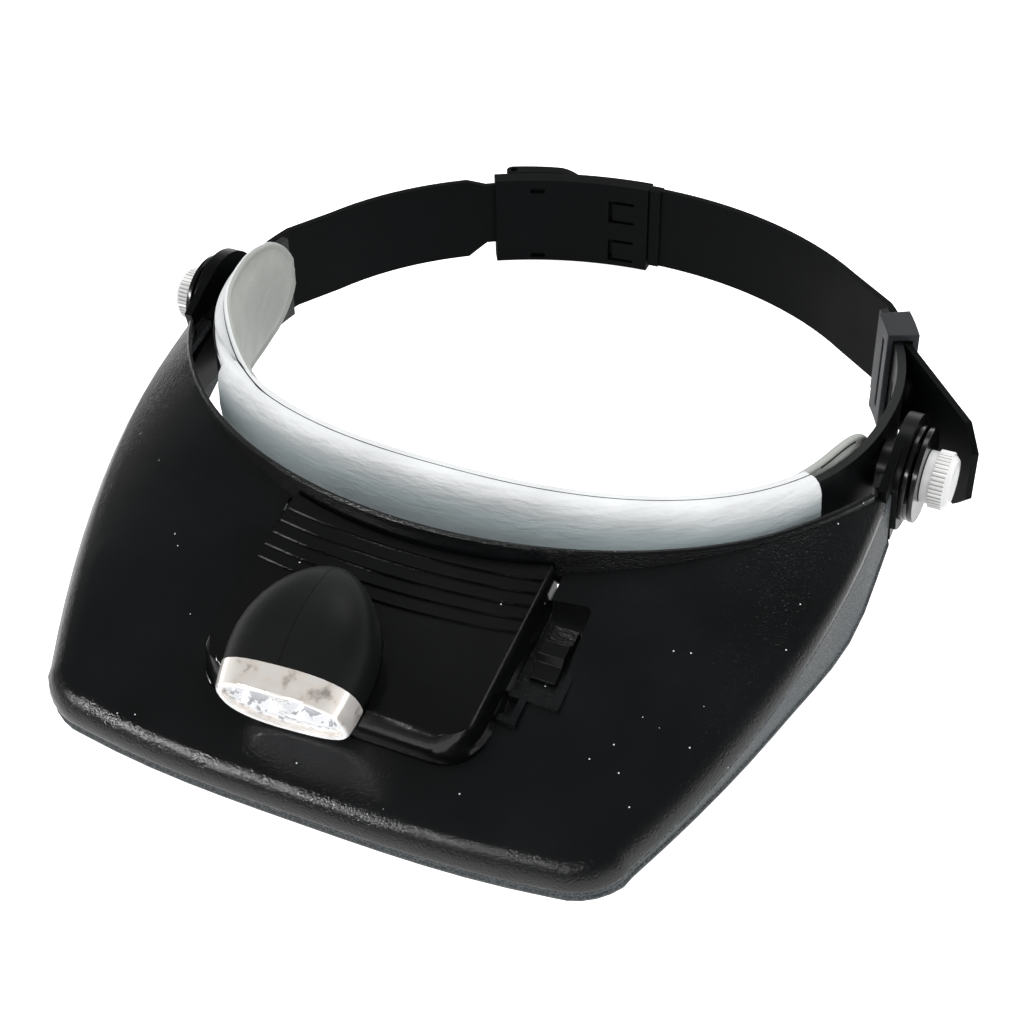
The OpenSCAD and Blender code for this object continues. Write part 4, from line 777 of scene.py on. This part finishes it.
# Lens plate and frame
# A clear acrylic plate with two thick lens zones slides up into a black channel frame
# under the eyeshade.
softened("lens_channel", "lens_frame", ear_black, "eyeshade")


def clear_plastic(name, tint, rough):
    """Clear moulded acrylic with a faint haze."""
    material, tree, shader, place = new_finish(name)
    shader.inputs["Base Color"].default_value = (*tint, 1)
    shader.inputs["Transmission Weight"].default_value = 1.0
    shader.inputs["IOR"].default_value = 1.49
    haze = noise_of(tree, place, 90, 2)
    polish = spread(tree, haze, 0.35, 0.75, rough, rough + 0.04)
    tree.links.new(polish, shader.inputs["Roughness"])
    tree.links.new(relief_of(tree, haze, 0.2, 0.00001), shader.inputs["Normal"])
    return material


lens_acrylic = clear_plastic("lens_acrylic", (0.93, 0.96, 0.97), 0.01)
softened("lens_pair", "lens_plate", lens_acrylic, "lens", edge=0.0002)

# Light box
# A glossy black cover over the batteries with five bowed grip ribs; a tray, a hinged
# door, two cells and their contacts are inside. The CAD's ribs lean back by 0.4 of their
# bow, and the copy sets them upright again.
box_black = moulded("box_black", (0.0035, 0.0038, 0.0040), 0.17, 1100, 0.00004,
                    gloss=0.34, specks=0.05)
rib_half, rib_bow, rib_lean, rib_crest = 0.0336, 0.0027, 0.4, 0.0003
box_up, box_back = Vector((0, -0.0211, 0.9998)), Vector((0, 0.9998, 0.0211))


def upright_ribs(corners):
    """Sets each bowed rib's crest straight above its foot."""
    crest = max(v.co.dot(box_up) for v in corners) - rib_crest
    for v in corners:
        if v.co.dot(box_up) > crest:
            v.co -= box_back*rib_lean*rib_bow*(1 - (v.co.x/rib_half)**2)


softened("light_box_cover", "light_box", box_black, "eyeshade", edge=0.00014,
         reshape=upright_ribs)
softened("cell_tray", "battery_tray", ear_black, "eyeshade")
softened("cell_door", "battery_door", ear_black, "door")
dress(plain_steel, "door_pin", "tray_screws", "contact_springs", "contact_plates")
cell_jacket = moulded("cell_jacket", (0.16, 0.18, 0.21), 0.35, 700, 0.00001)
dress(cell_jacket, "battery_cells")

# Switch
# A black slider in a sunken bay beside the light box, with a stem down to its contacts.
softened("switch_block", "switch_body", ear_black, "eyeshade")
softened("switch_thumb", "switch_slider", box_black, "switch", edge=0.0003)

# Lamp
# Two black clamshell halves hold a chromed rim, a clear window, a bright reflector and
# two diodes; the head tilts on a pin in the light box. The mirror and the rim's front lip
# carry a painted glow of the lamp's light, and the rim's side a painted tan reflection with
# dark blotches.
lamp_white, lamp_ahead = (0.95, 0.97, 1.0, 1), (0.06, -0.98, -0.19)
lamp_black = moulded("lamp_black", (0.0068, 0.0074, 0.0076), 0.44, 1700, 0.00004, gloss=0.16)
softened("left_lamp_shell", "lamp_housing_left", lamp_black, "lamp", angle=28)
softened("right_lamp_shell", "lamp_housing_right", lamp_black, "lamp", angle=28)
dress(ear_black, "lamp_bracket")
dress(plain_steel, "lamp_pivot_pin")
rim_chrome = metal("rim_chrome", (0.95, 0.90, 0.84), 0.12, 260, 0.00006, metallic=0.5,
                   low=(0.34, 0.29, 0.25), low_at=0.30, high_at=0.58)
tree = rim_chrome.node_tree
# The rim's tan tones and dark blotches are a painted reflection.
rim_reflection_tones = next(n for n in tree.nodes if n.type == "VALTORGB").color_ramp
rim_reflection_tones.elements.new(0.43).color = (0.93, 0.84, 0.75, 1)
place = tree.nodes.new("ShaderNodeTexCoord")
forward = tree.nodes.new("ShaderNodeVectorMath")
forward.operation = "DOT_PRODUCT"
forward.inputs[1].default_value = lamp_ahead
tree.links.new(place.outputs["Normal"], forward.inputs[0])
# A painted glow on the rim's forward lip.
painted_lip_glow = spread(tree, forward.outputs["Value"], 0.30, 0.85, 0.12, 0.75)
tree.links.new(painted_lip_glow, shader_of(rim_chrome).inputs["Emission Strength"])
shader_of(rim_chrome).inputs["Emission Color"].default_value = lamp_white
softened("lamp_rim", "lamp_bezel", rim_chrome, "lamp", edge=0.0003)
# The mirror's dark blue spots are a painted reflection.
bright_silver = metal("bright_silver", (0.98, 0.98, 0.99), 0.10, 640, 0.00010, metallic=0.25,
                      low=(0.02, 0.03, 0.07), low_at=0.395, high_at=0.435)
# A painted glow on the mirror.
shader_of(bright_silver).inputs["Emission Color"].default_value = lamp_white
shader_of(bright_silver).inputs["Emission Strength"].default_value = 0.42
softened("lamp_mirror", "lamp_reflector", bright_silver, "lamp", edge=0.0)
window_clear = clear_plastic("window_clear", (0.98, 0.99, 1.0), 0.0)
shader_of(window_clear).inputs["Transmission Weight"].default_value = 0.0
shader_of(window_clear).inputs["Alpha"].default_value = 0.12
softened("lamp_glass", "lamp_window", window_clear, "lamp", edge=0.0001)
diode_milk = moulded("diode_milk", (0.80, 0.82, 0.86), 0.15, 700, 0.00001, gloss=0.6, drift=0.05)
softened("diodes", "lamp_leds", diode_milk, "lamp", edge=0.0)
board_green = moulded("board_green", (0.02, 0.07, 0.04), 0.4, 900, 0.00002)
dress(board_green, "led_board")
